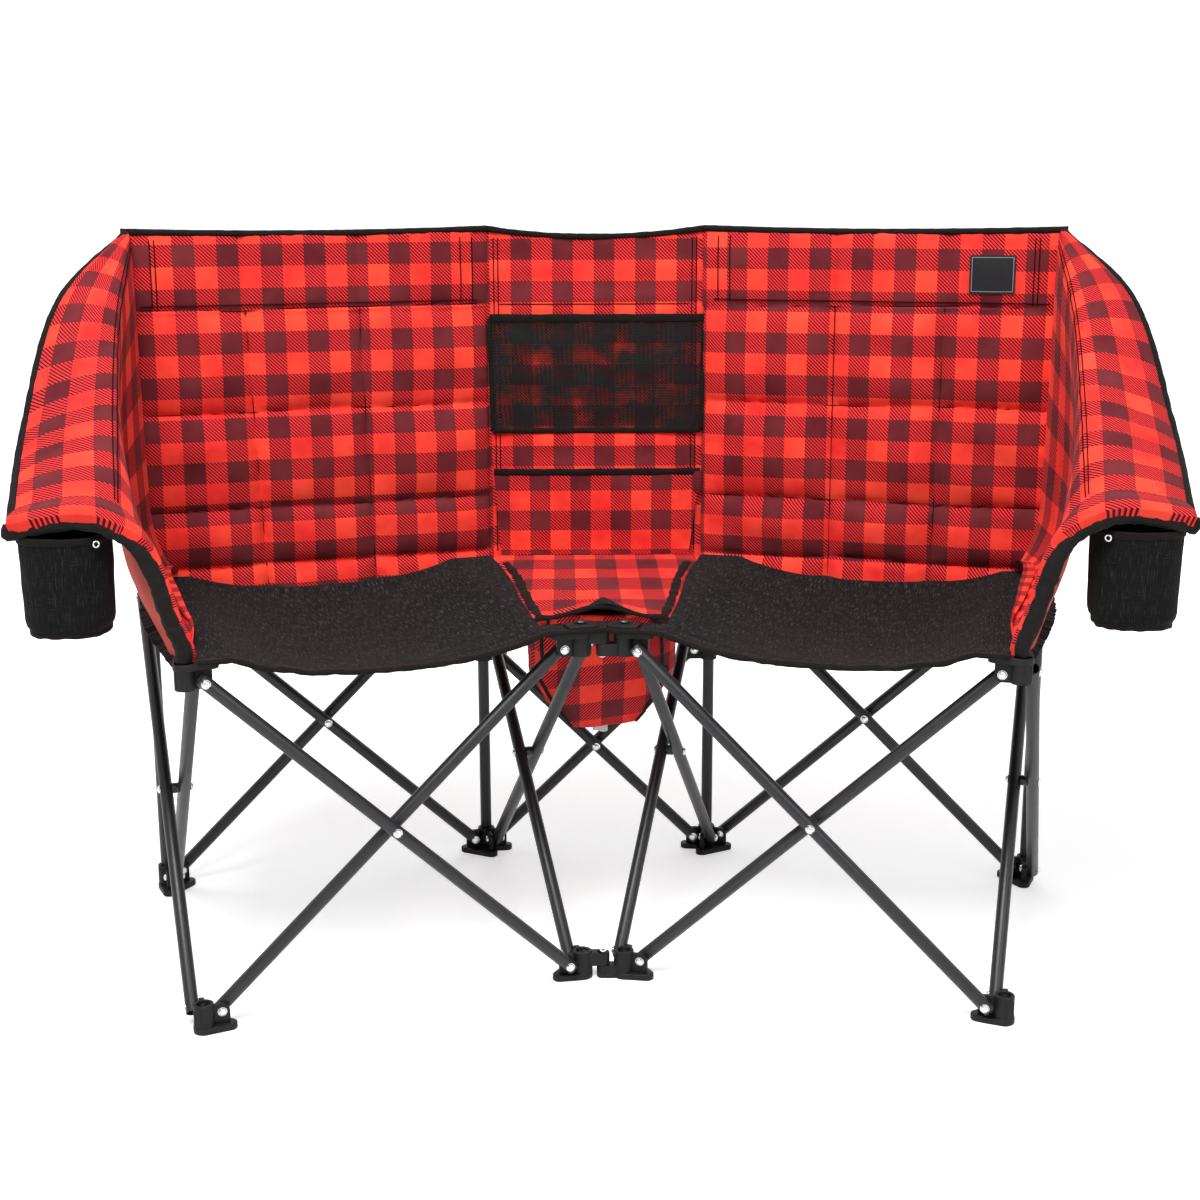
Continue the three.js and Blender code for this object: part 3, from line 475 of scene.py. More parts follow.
tab_reach, tab_thick, flange = 0.03, 0.006, 0.008
pad_reach, pad_radius = 0.029, 0.009


def hull_plate(circles, low, high):
    """A flat plate round a few circles, given as (x, y, radius)."""
    plate = merge(*[add_round(radius, high - low, (x, y, (low + high) / 2), 32) for x, y, radius in circles])
    edit(plate)
    bpy.ops.mesh.convex_hull()
    select_all()
    bpy.ops.mesh.dissolve_limited(angle_limit=math.radians(1))
    leave()
    return soften(plate, 0.0012, 3)


def bevel_edges(piece, wanted, width, steps):
    edit(piece)
    pick(piece, "edges", wanted)
    bpy.ops.mesh.bevel(offset=width, segments=steps)
    leave()


def make_tab(turn, base, tip):
    """An upright tab with a round free corner. It runs from the socket along X, turned about Z."""
    tab = add_block((tab_reach, tab_thick, abs(tip - base)), (tab_reach / 2, 0, (base + tip) / 2))
    bevel_edges(tab, lambda a, b: min(a.x, b.x) > 0.029 and abs(a.z - tip) + abs(b.z - tip) < 1e-5, 0.0085, 8)
    soften(tab, 0.0006)
    tab.data.transform(Matrix.Rotation(turn, 4, "Z"))
    return tab


def make_moulding(low, high, plate_low, tip, open_end, floor):
    """A foot or hub with its corner at the origin and its tabs along X and Y."""
    circles = [(0, 0, 0.013), (pad_reach, 0, pad_radius), (0, pad_reach, pad_radius)]
    plate = hull_plate(circles, plate_low, plate_low + flange)
    socket = add_round(0.012, high - low, (0, 0, (low + high) / 2), 40)
    bore(socket, 0.0037, (high - low) - floor, open_end)
    soften(socket, 0.0008, 3)
    base = plate_low + flange / 2
    parts = [plate, socket, make_tab(0, base, tip), make_tab(quarter, base, tip)]
    for turn in (45, 205, 245):
        rib = soften(add_block((0.0165, 0.0022, abs(tip - base) * 0.8), (0.0045, 0, (base + tip) / 2)), 0.0005)
        rib.data.transform(Matrix.Rotation(math.radians(turn), 4, "Z"))
        parts.append(rib)
    return merge(*parts)


foot_master = make_moulding(0, 0.035, 0, 0.032, 1, 0.006)
hub_master = make_moulding(-0.009, 0.022, 0.014, -0.009, -1, 0.0006)


def corner_place(side, corner, height):
    """Turns a moulding's X and Y toward the two neighbouring corners."""
    along = 1 if corner.endswith("inner") else -1
    deep = 1 if corner.startswith("front") else -1
    ways = (outward(side) * along, rearward(side) * deep, upward)
    return Matrix.Translation(at(side, *squares[corner], height)) @ Matrix(ways).transposed().to_4x4()


def make_lug(side, low, high):
    """The hinge lug that reaches from a front inner corner to the pin in the middle plane."""
    reach = -sides[side] * middle_inset
    arm = add_block((abs(reach), 0.016, high - low), (reach / 2, 0, (low + high) / 2))
    eye = add_round(0.008, high - low, (reach, 0, (low + high) / 2), 32)
    return merge(soften(arm, 0.0008), soften(eye, 0.0008))


lug_levels = {"left": ((0.01665, 0.033), (0.00665, 0.022)), "right": ((0, 0.01635), (-0.009, 0.00635))}
for side, sign in sides.items():
    for corner, square in squares.items():
        for kind, master, height in (("foot", foot_master, 0), ("hub", hub_master, hub_pivot)):
            node = f"{kind}_{corner}_{side}"
            piece = copy_piece(master, node, corner_place(side, corner, height))
            extras = []
            if corner == "front_inner":
                extras = [make_lug(side, *lug_levels[side][kind == "hub"])]
            elif node.startswith("foot_rear_inner"):
                extras = [make_tab(0 if side == "left" else math.pi, flange / 2, 0.032),
                          hull_plate([(0, 0, 0.012), (-sign * pad_reach, 0, pad_radius)], 0, flange)]
            for extra in extras:
                extra.data.transform(Matrix.Translation(at(side, *square, height)))
            piece = merge(piece, *extras)
            dress(piece, f"{node}_moulding", body_of[node], "black_plastic", nylon, node)
put_away(foot_master, hub_master)

# ---------------------------------------------------------------- Link pins, sliders and clamp plates
# Two zinc pins let the halves turn at the front. The rear middle cross slides on two nylon blocks. A
# nylon plate with a pan head crosshead screw clamps the seat cloth on each front inner hub.

clamp_height = 0.4496
screw_radius = 0.0068
blackened = Finish("blackened_screw_steel", Metallic=1.0)
oil = blackened.grain(900, 3)
blackened.cover(oil, (0.045, 0.045, 0.048), (0.12, 0.12, 0.12), 0.22 + oil * 0.25, oil, 0.00003, 0.4)

for node, low, high, head_low in (
    ("foot_link_pin", 0.004, 0.0348, 0.0333),
    ("hub_link_pin", hub_pivot - 0.0108, hub_pivot + 0.022, hub_pivot - 0.0108),
):
    shank = add_round(rivet_radius, high - low, (0, middle.y, (low + high) / 2), 20)
    head = add_round(0.0042, 0.0015, (0, middle.y, head_low + 0.00075), 24)
    pin = merge(soften(shank, 0.0003), soften(head, 0.0005, 3))
    dress(pin, f"{node}_turned", body_of[node], "steel", steel, node)

for side, sign in sides.items():
    node = f"slider_{side}"
    block = add_round(0.012, 0.026, (0, 0, 0), 36)
    edit(block)
    pick(block, "faces", lambda centre, normal: abs(normal.z) > 0.9)
    bpy.ops.mesh.inset(thickness=0.0031, use_individual=True)
    bpy.ops.mesh.bridge_edge_loops()
    leave()
    soften(block, 0.0007)
    ear = add_block((tab_reach, tab_thick, 0.026), (-sign * 0.0195, 0, 0))
    bevel_edges(ear, lambda a, b: min(a.x * -sign, b.x * -sign) > 0.034 and abs(a.z - b.z) < 1e-5, 0.006, 5)
    block = merge(block, soften(ear, 0.0006))
    block.data.transform(Matrix.Translation(at(side, 0, span, slider_pivot)))
    dress(block, f"{node}_moulding", body_of[node], "black_plastic", nylon, node)

    hub = f"front_inner_hub_{side}"
    turn = Matrix.Rotation(math.atan2(outward(side).y * sign, outward(side).x * sign), 4, "Z")
    place = Matrix.Translation(at(side, 0, 0, clamp_height)) @ turn
    plate = add_block((0.038, 0.028, 0.003), (0, 0, 0.0016))
    bevel_edges(plate, lambda a, b: abs(a.z - b.z) > 0.002, 0.003, 4)
    soften(plate, 0.0007)
    plate = merge(plate, soften(add_round(0.0092, 0.0011, (0, 0, 0.0034), 32), 0.0004))
    plate.data.transform(place)
    dress(plate, f"clamp_plate_{side}", hub, "black_plastic", nylon)

    screw = make_dome(screw_radius, screw_radius * 0.36, 28, 14)
    leave()
    for angle in (20, 110):
        slot = add_block((0.0072, 0.0012, 0.0024), (0, 0, 0.0024))
        slot.data.transform(Matrix.Rotation(math.radians(angle), 4, "Z"))
        choose(screw)
        cut = screw.modifiers.new("cross", "BOOLEAN")
        cut.object = slot
        cut.solver = "EXACT"
        bpy.ops.object.modifier_apply(modifier=cut.name)
        put_away(slot)
    smooth(screw, 35)
    screw.data.transform(place @ Matrix.Translation((0, 0, 0.0038)))
    dress(screw, f"clamp_screw_{side}", hub, "steel", blackened)

# ---------------------------------------------------------------- Back posts and arm posts
# Four straight tubes stand in the rear feet and carry the back. Two shorter ones rise from the front
# outer hubs and bend outward under the front edge of the arms.

post_foot, post_top = 0.0063, 0.897
for side in sides:
    for end in ("inner", "outer"):
        node = f"back_post_{end}_{side}"
        post = add_round(tube_radius, post_top - post_foot, (0, 0, (post_foot + post_top) / 2), 32)
        bore(post, tube_wall, 0.02)
        soften(post, 0.0003, 2, 50)
        post.data.transform(Matrix.Translation(at(side, *squares[f"rear_{end}"], 0)))
        dress(post, f"{node}_coated", body_of[node], "black_tube", powder, node)

# How far the arm post leans out, and how high it stands over its hub, from its foot to its tip.
arm_reaches = (0, 0, 0, 0.012, 0.031, 0.048, 0.077, 0.104, 0.144, 0.181)
arm_heights = (-0.031, 0, 0.014, 0.045, 0.108, 0.136, 0.154, 0.16, 0.156, 0.149)


def mix(a, b, share):
    return a + (b - a) * share


def line_lengths(line):
    return np.cumsum([0] + [(b - a).length for a, b in zip(line, line[1:])])


def point_on(line, index):
    """The place at a fractional index of a line."""
    low = min(int(index), len(line) - 2)
    return line[low].lerp(line[low + 1], index - low)


def way_at(line, index):
    return (line[min(index + 1, len(line) - 1)] - line[max(index - 1, 0)]).normalized()


def smooth_at(points, share):
    """The place at a share of the way along a smooth line through the points."""
    rows = [points[0] * 2 - points[1], *points, points[-1] * 2 - points[-2]]
    index = min(int(share * (len(points) - 1)), len(points) - 2)
    knots = [0.0]
    a, b, c, d = rows[index:index + 4]
    for first, second in ((a, b), (b, c), (c, d)):
        knots.append(knots[-1] + max(1e-6, (second - first).length ** 0.5))
    t = mix(knots[1], knots[2], share * (len(points) - 1) - index)
    level = [a, b, c, d]
    for pairs in (((0, 1), (1, 2), (2, 3)), ((0, 2), (1, 3)), ((1, 2),)):
        level = [first.lerp(second, (t - knots[i]) / (knots[j] - knots[i]))
                 for first, second, (i, j) in zip(level, level[1:], pairs)]
    return level[0]


def arm_line(side, count):
    """Evenly spaced places along the bent middle line of an arm post."""
    foot = at(side, span, 0, hub_pivot + 0.022)
    points = [foot + Vector((sides[side] * reach, 0, height)) for reach, height in zip(arm_reaches, arm_heights)]
    dense = [smooth_at(points, step / 400) for step in range(401)]
    lengths = line_lengths(dense)
    return [point_on(dense, i) for i in np.interp(np.linspace(0, lengths[-1], count), lengths, range(401))]


def shell_faces(rows, count, base=0):
    """The sides and two ends of a shell of rings, each of count points."""
    faces = []
    for row in range(rows - 1):
        for step in range(count):
            a, b = row * count + step, row * count + (step + 1) % count
            faces.append((a, b, b + count, a + count))
    faces += [range(count - 1, -1, -1), range((rows - 1) * count, rows * count)]
    return [tuple(base + v for v in face) for face in faces]


def build(points, faces, woven=()):
    """A piece from its points and faces. woven holds the points' places in the weave, skin by skin."""
    mesh = bpy.data.meshes.new("piece")
    mesh.from_pydata(points, [], faces)
    if woven:
        layer = mesh.uv_layers.new(name="weave")
        for loop in mesh.loops:
            layer.data[loop.index].uv = woven[loop.vertex_index % len(woven)]
    return place_new("piece", mesh)


def face_outward(piece):
    edit(piece)
    bpy.ops.mesh.normals_make_consistent(inside=False)
    leave()
    return piece


def round_off(piece):
    piece.data.shade_smooth()
    return face_outward(piece)


def circle(count, shift=0.0):
    """Places round a circle of radius one."""
    turns = [2 * math.pi * (step + shift) / count for step in range(count)]
    return [(math.cos(turn), math.sin(turn)) for turn in turns]


def pipe(line, radii, count=20):
    """A round pipe along a line, with a radius for each place."""
    points = []
    up = Vector((0, 1, 0.01)).normalized()
    for index, (place, radius) in enumerate(zip(line, radii)):
        way = way_at(line, index)
        across = way.cross(up).normalized()
        over = across.cross(way)
        points += [place + (across * x + over * y) * radius for x, y in circle(count)]
    return round_off(build(points, shell_faces(len(line), count)))


for side in sides:
    node = f"arm_post_{side}"
    post = pipe(arm_line(side, 60), [tube_radius] * 60)
    dress(post, f"{node}_coated", body_of[node], "black_tube", powder, node)

# ---------------------------------------------------------------- Seat
# Two panels of black heather polyester, hemmed all round and stretched between the hubs. Each half is
# cut in a front and a rear panel that meet in one felled seam, and they sag under their own weight.

sleeve_radius = 0.0108
seat_lead = 0.014
band_depth = 0.022
flat_reach = 0.05
seat_height = 0.4473
back_deep = 0.4507
seat_rear = 0.4424
seat_length = seat_rear + seat_lead
seat_side = span - sleeve_radius - 0.0022
# The inner edge of the seat bends away from the middle toward the back.
row_deeps = [-seat_lead, band_depth, band_depth + 0.01]
row_deeps += [share * seat_length - seat_lead for share in (0.17, 0.3, 0.48, 0.66, 0.84, 1)]
inner_shares = (0.1, 0.098, 0.096, 0.088, 0.073, 0.045, 0.014, -0.006, -0.016)


def hump(share, power=2.0):
    return 1 - abs(2 * share - 1) ** power


def read_off(keys, values, place):
    return float(np.interp(place, keys, values))


def ripple(place, scale, seed=0.0):
    """Smooth noise between -1 and 1 at a place given in metres."""
    return noise.noise(Vector((place[0] * scale, place[1] * scale, place[2] * scale + seed)))


def even(count, low=0.0, high=1.0):
    return [mix(low, high, step / count) for step in range(count + 1)]


def fold_in(piece, side, corner):
    """Gives a cloth of one half its own mesh. The inner corner is looked up, but the cloth is not moved."""
    anchor = at(side, *squares[corner], seat_height)
    tuple(outward(side))
    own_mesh(piece)


def cloth(columns, rows, place, weave, front, back=None, flip=False):
    """A closed piece of cloth over a grid. place(s, t) is its middle surface and weave(s, t) the place
    in its woven pattern, in metres. front and back are how far its two skins stand off the middle."""
    near, far = [thick if callable(thick) else lambda s, t, thick=thick: thick for thick in (front, back or front)]
    grid = [[place(s, t) for s in columns] for t in rows]
    high, wide = len(rows), len(columns)
    skins, woven = ([], []), []
    for row, t in enumerate(rows):
        for column, s in enumerate(columns):
            across = grid[row][min(column + 1, wide - 1)] - grid[row][max(column - 1, 0)]
            down = grid[min(row + 1, high - 1)][column] - grid[max(row - 1, 0)][column]
            normal = across.cross(down).normalized() * (-1 if flip else 1)
            skins[0].append(grid[row][column] + normal * near(s, t))
            skins[1].append(grid[row][column] - normal * far(s, t))
            woven.append(weave(s, t))
    under = high * wide
    faces = []
    for row in range(high - 1):
        for a in range(row * wide, row * wide + wide - 1):
            quad = (a, a + 1, a + wide + 1, a + wide)
            faces += [quad, tuple(under + v for v in reversed(quad))]
    rim = list(range(wide)) + [row * wide + wide - 1 for row in range(1, high)]
    rim += list(range(high * wide - 2, (high - 1) * wide - 1, -1))
    rim += [row * wide for row in range(high - 2, 0, -1)]
    faces += [(b, a, under + a, under + b) for a, b in zip(rim, rim[1:] + rim[:1])]
    if flip:
        faces = [tuple(reversed(face)) for face in faces]
    return smooth(build(skins[0] + skins[1], faces, woven), 55)


def tape(line, across, half_width, half_thick, count=12, wave=0.0):
    """Folded binding tape along an edge. across, a way or across(i), lies in the cloth's plane, square
    to the edge."""
    points, woven = [], []
    lengths = line_lengths(line)
    for index, place in enumerate(line):
        way = way_at(line, index)
        flat = across(index) if callable(across) else across
        flat = (flat - way * flat.dot(way)).normalized()
        over = way.cross(flat)
        swell = 1 + wave * ripple(place, 90)
        for step, (x, y) in enumerate(circle(count)):
            x, y = math.copysign(abs(x) ** 0.55, x), math.copysign(abs(y) ** 0.8, y)
            points.append(place + flat * (x * half_width * swell) + over * (y * half_thick * swell))
            woven.append((lengths[index], half_width * 2 * step / count))
    return round_off(build(points, shell_faces(len(line), count), woven))


def heather_cloth(name, light):
    """Black cloth with pale slubs along both threads. The cups are of a plainer weave than the seat."""
    finish = Finish(name, True, Sheen_Weight=0.02, Sheen_Roughness=0.5, Specular_IOR_Level=0.1)
    slub_up = finish.grain(850, 2, 0.6, (1, 0.06, 1))
    slub_across = finish.grain(850, 2, 0.6, (0.08, 1, 1))
    cloud = finish.grain(14, 3)
    flecks = finish.spread(slub_up, 0.55, 0.75)
    lit = flecks.maths("MAXIMUM", flecks, finish.spread(slub_across, 0.58, 0.8, 0.0, 0.75))
    finish.cover(lit * (0.55 + cloud * 0.6), (0.0046, 0.0046, 0.005), (light, light, light * 0.98),
                 0.86 + cloud * 0.1, slub_up + slub_across, 0.0003, 0.6)
    return finish


heather = heather_cloth("black_heather_cloth", 0.105)

binding = Finish("black_binding_tape", True, Sheen_Weight=0.03, Sheen_Roughness=0.4, Specular_IOR_Level=0.12)
rib_pitch = 0.0011
rib = (binding.split()[0] % rib_pitch) / rib_pitch
shade = binding.grain(60, 4)
binding.cover(shade, (0.003, 0.0026, 0.0026), (0.0125, 0.009, 0.0078), 0.72 + shade * 0.2,
              abs(rib - 0.5) + shade * 0.6, 0.0003, 0.8)


def seat_inner(deep):
    """Where the seat's inner edge lies. The two halves meet in the middle plane at their front."""
    if deep <= band_depth + 0.0003:
        return (0.00015 - middle_inset - deep * math.sin(toe_in)) / math.cos(toe_in)
    return read_off(row_deeps, inner_shares, deep) * span


def seat_sag(along, deep):
    """How far the seat hangs between its flat strips along the outer and inner crosses."""
    place = (along - flat_reach) / (span - 2 * flat_reach)
    share = (deep + seat_lead) / seat_length
    if place <= 0 or place >= 1:
        return 0.0
    return hump(place, 2.6) * (mix(0.026, 0.023, share) + 0.018 * hump(share))


def seat_place(side, s, deep):
    along = mix(seat_inner(deep), seat_side, s)
    crease = 0.0014 * ripple((along * 0.5, deep * 1.2, 3.0), 14) * hump(s)
    hem = max(0.0, 1 - (deep + seat_lead) / 0.05)
    flutter = 0.0035 * hem * math.sin(along * 118 + 1.1) * max(0.0, (along - 0.25) / 0.2) * hump(min(1, s * 1.02))
    return at(side, along, deep, seat_height - seat_sag(along, deep) + crease - flutter)


seat_half = row_deeps[5]
for side, sign in sides.items():
    for part, low, high in (("front", -seat_lead, seat_half + 0.0005), ("rear", seat_half - 0.0005, seat_rear)):
        node = f"seat_{part}_{side}"

        def place(s, t):
            return seat_place(side, s, mix(low, high, t))

        def weave(s, t):
            deep = mix(low, high, t)
            return mix(seat_inner(deep), seat_side, s), deep

        def skin(s, t):
            """Thicker where the hems are turned under."""
            ends = (t if part == "front" else 1 - t) * 0.23
            return 0.0014 + 0.0006 * (min(min(s, 1 - s) * 0.45, ends) < 0.02)

        panel = cloth(even(72), even(40), place, weave, skin, 0.0016, flip=sign < 0)
        dress(panel, f"{node}_cloth", body_of[node], "black_cloth", heather, node)
        mean = seat_side - seat_inner(mix(low, high, 0.5))
        round(high - low, 3)
        fold_in(panel, side, f"{part}_inner")

    rim = [seat_place(side, s, -seat_lead) - rearward(side) * 0.001 for s in even(90)]
    hem = tape(rim, rearward(side), 0.0055, 0.0031, wave=0.35)
    dress(hem, f"seat_hem_{side}", f"seat_front_{side}", "black_cloth", binding)
    fold_in(hem, side, "front_inner")

# ---------------------------------------------------------------- Sides of the back
# Plaid canvas quilted over thin foam in twelve cells a side, with a sleeve at each edge that slips
# over its post, and black tape bound over the top.

plaid = Finish("buffalo_plaid_canvas", True, Sheen_Weight=0.03, Sheen_Roughness=0.5, Specular_IOR_Level=0.14)
check = 0.0285
across, along, _ = plaid.split()
dark_column, dark_row = [(place % (2 * check)) > check for place in (across, along)]
twill = ((across + along) % (check / 6)) < (check / 11.6)
# Big random patches turn the scarlet and maroon toward a deep crimson: partly uneven dye, mostly painted shade of the
# canvas's folds.
dye_and_shade = plaid.grain(9, 4, 0.6)
dye_and_shade_share = plaid.spread(dye_and_shade, 0.34, 0.6)
yarn = plaid.grain(1400, 2, 0.6, (1, 0.35, 1))
scarlet = plaid.mix(dye_and_shade_share, (0.8, 0.02, 0.021), (0.97, 0.07, 0.038))
maroon = plaid.mix(dye_and_shade_share, (0.1, 0.008, 0.013), (0.16, 0.021, 0.025))
stripes = plaid.mix(twill, (0.84, 0.036, 0.036), (0.07, 0.003, 0.006))
printed = plaid.mix(dark_column * dark_row, plaid.mix(abs(dark_column - dark_row), scarlet, stripes), maroon)
yarn_level = plaid.put("CombineColor", None, dict.fromkeys(range(3), 0.88 + yarn * 0.2))
shaded = plaid.put("Mix", {"data_type": "RGBA", "blend_type": "MULTIPLY"}, {0: 1.0, 6: printed, 7: yarn_level}, 2)
plaid.wear(Base_Color=shaded, Roughness=0.8 + dye_and_shade * 0.12, Normal=plaid.bump(yarn, 0.00025, 0.55))

cloth_top = 0.905
band_bottom = 0.802
quilt_low = 0.42
quilt_inner, quilt_outer = -sleeve_radius, span + sleeve_radius
# Where the checks start on each side, the two upright seams at the top and bottom, and the level ones.
quilt_phases = {"left": (0.32636, 0.8304), "right": (-0.10984, 0.8215)}
quilt_seams = {
    "left": ((0.171, 0.156), (0.3245, 0.3055)),
    "right": ((0.1735, 0.173), (0.322, 0.314)),
}
quilt_rows = {"left": (0.457, 0.534, 0.667, band_bottom), "right": (0.452, 0.534, 0.668, band_bottom)}


def cell_share(lines, value):
    """How far a value is through the cell it lies in, and how far it is from the nearest seam."""
    for low, high in zip(lines, lines[1:]):
        if value < high or high == lines[-1]:
            share = min(1.0, max(0.0, (value - low) / (high - low)))
            return share, min(abs(value - low), abs(high - value))


def quilt_share(height):
    return (height - quilt_low) / (cloth_top - quilt_low)


def row_sway(side, along, row):
    return 0.004 * ripple((along, 0, row), 7, sides[side])


def quilt_place(s, t):
    along = mix(quilt_inner, quilt_outer, s)
    low = seat_height - seat_sag(along, seat_rear)
    return along, mix(low, cloth_top - 0.004 * hump(s), t)


def quilt_lift(side, along, height):
    """How far the padding stands off the plane of the back: it puffs up in each cell, puckers and
    gathers beside the seams, hangs in soft waves between them and folds in where they are sewn."""
    sign = sides[side]
    share = quilt_share(height)
    uprights = [quilt_inner] + [mix(low, top, share) for top, low in quilt_seams[side]] + [quilt_outer]
    levels = [0.40] + [row + row_sway(side, along, row) for row in quilt_rows[side]] + [cloth_top]
    across, near_upright = cell_share(uprights, along)
    over, near_level = cell_share(levels, height)
    puff = (0.0135 if height < band_bottom else 0.005) * (hump(across, 3.2) * hump(over, 2.6)) ** 0.6
    pucker = math.exp(-near_level / 0.012) * ripple((along, height * 0.15, 5.0), 95, sign * 3)
    gather = math.exp(-near_upright / 0.012) * ripple((along * 0.15, height, 9.0), 95, sign * 5)
    drape = 0.0075 * ripple((along * 0.7 + height * 0.5, height * 1.3, 1.0), 13, sign * 2) * hump(over)
    fold = 0.0018 * math.exp(-near_level / 0.005) + 0.0012 * math.exp(-near_upright / 0.004)
    band = 0.003 * (height > band_bottom - 0.004)
    return puff + 0.0019 * pucker + 0.0012 * gather + drape * hump(across) - fold + band


def stitches(lines, normal, pitch=0.0034, length=0.003, radius=0.0008):
    """Rows of short raised stitches along lines on the cloth."""
    points, faces = [], []
    for line in lines:
        lengths = line_lengths(line)
        for index in range(int(lengths[-1] / pitch)):
            reaches = [index * pitch + share * length for share in (0, 0.5, 1)]
            places = [point_on(line, np.interp(reach, lengths, range(len(line)))) for reach in reaches]
            beside = (places[2] - places[0]).normalized().cross(normal).normalized()
            faces += shell_faces(3, 4, len(points))
            for place, rise in zip(places, (0.0, 0.00045, 0.0)):
                for x, y in ((1, 0), (0, 1), (-1, 0), (0, -1)):
                    points.append(place + beside * (x * radius) + normal * (y * radius + rise))
    return face_outward(build(points, faces))


thread = Finish("dark_red_thread", Specular_IOR_Level=0.08)
twist = thread.grain(2600)
thread.cover(twist, (0.012, 0.0012, 0.0018), (0.05, 0.004, 0.006), 0.75 + twist * 0.2, twist, 0.0001, 0.5)

for side, sign in sides.items():
    node = f"back_{side}"
    shift_u, shift_v = quilt_phases[side]
    toward = -rearward(side)

    def place(s, t):
        along, height = quilt_place(s, t)
        return at(side, along, back_deep, height)

    def front(s, t):
        return 0.0036 + quilt_lift(side, *quilt_place(s, t))

    def weave(s, t):
        along, height = quilt_place(s, t)
        return sign * along + shift_u, height - shift_v

    def on_quilt(along, height):
        return at(side, along, back_deep, height) + toward * (0.0044 + quilt_lift(side, along, height))

    panel = cloth(even(150), even(140), place, weave, front, 0.004, flip=sign < 0)
    pieces = [("quilt", panel, "plaid_cloth", plaid)]
    for end in ("inner", "outer"):
        post = at(side, *squares[f"rear_{end}"], 0)
        line = [Vector((post.x, post.y, height)) for height in even(20, band_bottom, cloth_top + 0.0005)]
        sleeve = pipe(line, [sleeve_radius + 0.0006 * ripple(p, 60) for p in line])
        pieces.append((f"sleeve_{end}", sleeve, "black_cloth", binding))
    rim = [place(s, 1.0) - upward * 0.001 for s in even(110)]
    pieces.append(("tape", tape(rim, upward, 0.0046, 0.0098, wave=0.1), "black_cloth", binding))
    lines = [[on_quilt(a, row + row_sway(side, a, row)) for a in even(120, 0.004, span - 0.004)]
             for row in quilt_rows[side][1:]]
    lines += [[on_quilt(along, height) for height in even(40, band_bottom + 0.004, cloth_top - 0.008)]
              for along in (0.012, 0.0285, 0.434, 0.44)]
    lines.append([on_quilt(along, band_bottom + 0.0065) for along in even(120, 0.006, span - 0.006)])
    lines += [[on_quilt(mix(low, top, quilt_share(h)), h) for h in even(110, 0.43, band_bottom)]
              for top, low in quilt_seams[side]]
    pieces.append(("stitches", stitches(lines, toward), "black_cloth", thread))
    for part, piece, slot, finish in pieces:
        dress(piece, f"{node}_{part}", body_of[node], slot, finish, *([node] if part == "quilt" else []))
        fold_in(piece, side, "rear_inner")

# ---------------------------------------------------------------- Middle of the back and its pockets
# One layer of the plaid canvas between the two inner posts, with a zipless net pocket above and a
# slip pocket of the same canvas below. The pocket mouths are bound in black tape.

centre_deep = middle.y + 0.43126
centre_reach, panel_reach = 0.1482, 0.1535
panel_low = 0.441
centre_phase = (0.0874, -0.8334)
pocket_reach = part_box("mesh_pocket")[1].x
back_body = body_of["back_centre"]
toward = Vector((0, -1, 0))
sideward = Vector((1, 0, 0))


def on_centre(x, height, proud):
    tuck = max(0.0, abs(x) - 0.1465) * 1.4
    return Vector((x, centre_deep - proud + tuck, height))


def centre_lift(x, height):
    sag = 0.0052 * hump((x / centre_reach + 1) / 2) * hump((height - 0.45) / (cloth_top - 0.45))
    near = min(abs(height - band_bottom), abs(abs(x) - 0.132))
    crease = 0.0024 * ripple((x * 0.5, 0, height * 1.6), 26)
    crease += 0.001 * math.exp(-near / 0.01) * ripple((x, 0, height), 80)
    return 0.0025 + sag + crease - 0.0012 * math.exp(-((height - band_bottom) / 0.004) ** 2)


def centre_top(s):
    return cloth_top - 0.011 * hump(s)


def centre_point(s, t):
    return mix(-panel_reach, panel_reach, s), mix(panel_low, centre_top(s), t)


def centre_weave(s, t):
    x, height = centre_point(s, t)
    return x + centre_phase[0], height + centre_phase[1]


panel = cloth(even(90), even(130), lambda s, t: on_centre(*centre_point(s, t), 0), centre_weave,
              lambda s, t: centre_lift(*centre_point(s, t)) + 0.0006, 0.0022)
dress(panel, "back_centre_cloth", back_body, "plaid_cloth", plaid, "back_centre")

rim = [on_centre(mix(-centre_reach, centre_reach, s), centre_top(s) - 0.001, 0.001) for s in even(70)]
edge = tape(rim, upward, 0.0042, 0.0048, wave=0.2)
dress(edge, "back_centre_tape", back_body, "black_cloth", binding)
lines = [[(x, h) for h in even(120, 0.455, 0.893)] for x in (-0.1395, -0.1335, 0.1335, 0.1395)]
lines.append([(x, band_bottom) for x in even(80, -0.132, 0.132)])
lines = [[on_centre(x, h, centre_lift(x, h) + 0.0008) for x, h in line] for line in lines]
seams = dress(stitches(lines, toward), "back_centre_stitches", back_body, "black_cloth", thread)
centre_pieces = [panel, edge, seams]

net = Finish("black_net", True, Specular_IOR_Level=0.15)
pitch = 0.0026
row_pitch = pitch * 0.87
net_across, net_up, _ = net.split()
row_shift = ((net_up / row_pitch) % 2 > 1) * (pitch / 2)
hole_x = ((net_across + row_shift) % pitch) / pitch - 0.5
hole_y = (net_up % row_pitch) / row_pitch - 0.5
opening = net.spread(net.grain(26, 3, 0.6, (1, 1.3, 1)), 0.38, 0.66, 0.03, 0.21)
knit = net.grain(1800)
net.cover(knit, (0.004, 0.004, 0.0045), (0.017, 0.0155, 0.0155), 0.6 + knit * 0.2, knit, 0.0002, 0.5)
net.wear(Alpha=1 - ((hole_x * hole_x + hole_y * hole_y) < opening))
net.material.surface_render_method = "DITHERED"

mesh_low, mesh_high = 0.627, 0.783


def net_place(s, t):
    belly = hump(s, 4) * (0.3 + 0.7 * t) * hump(min(1.0, t * 0.62 + 0.06), 2)
    proud = 0.0079 + 0.0055 * belly + 0.0012 * ripple((s * 0.28, 0, t * 0.15), 38)
    return on_centre(mix(-0.143 - 0.003 * t, 0.147 + 0.005 * t, s), mix(mesh_low, mesh_high, t), proud)


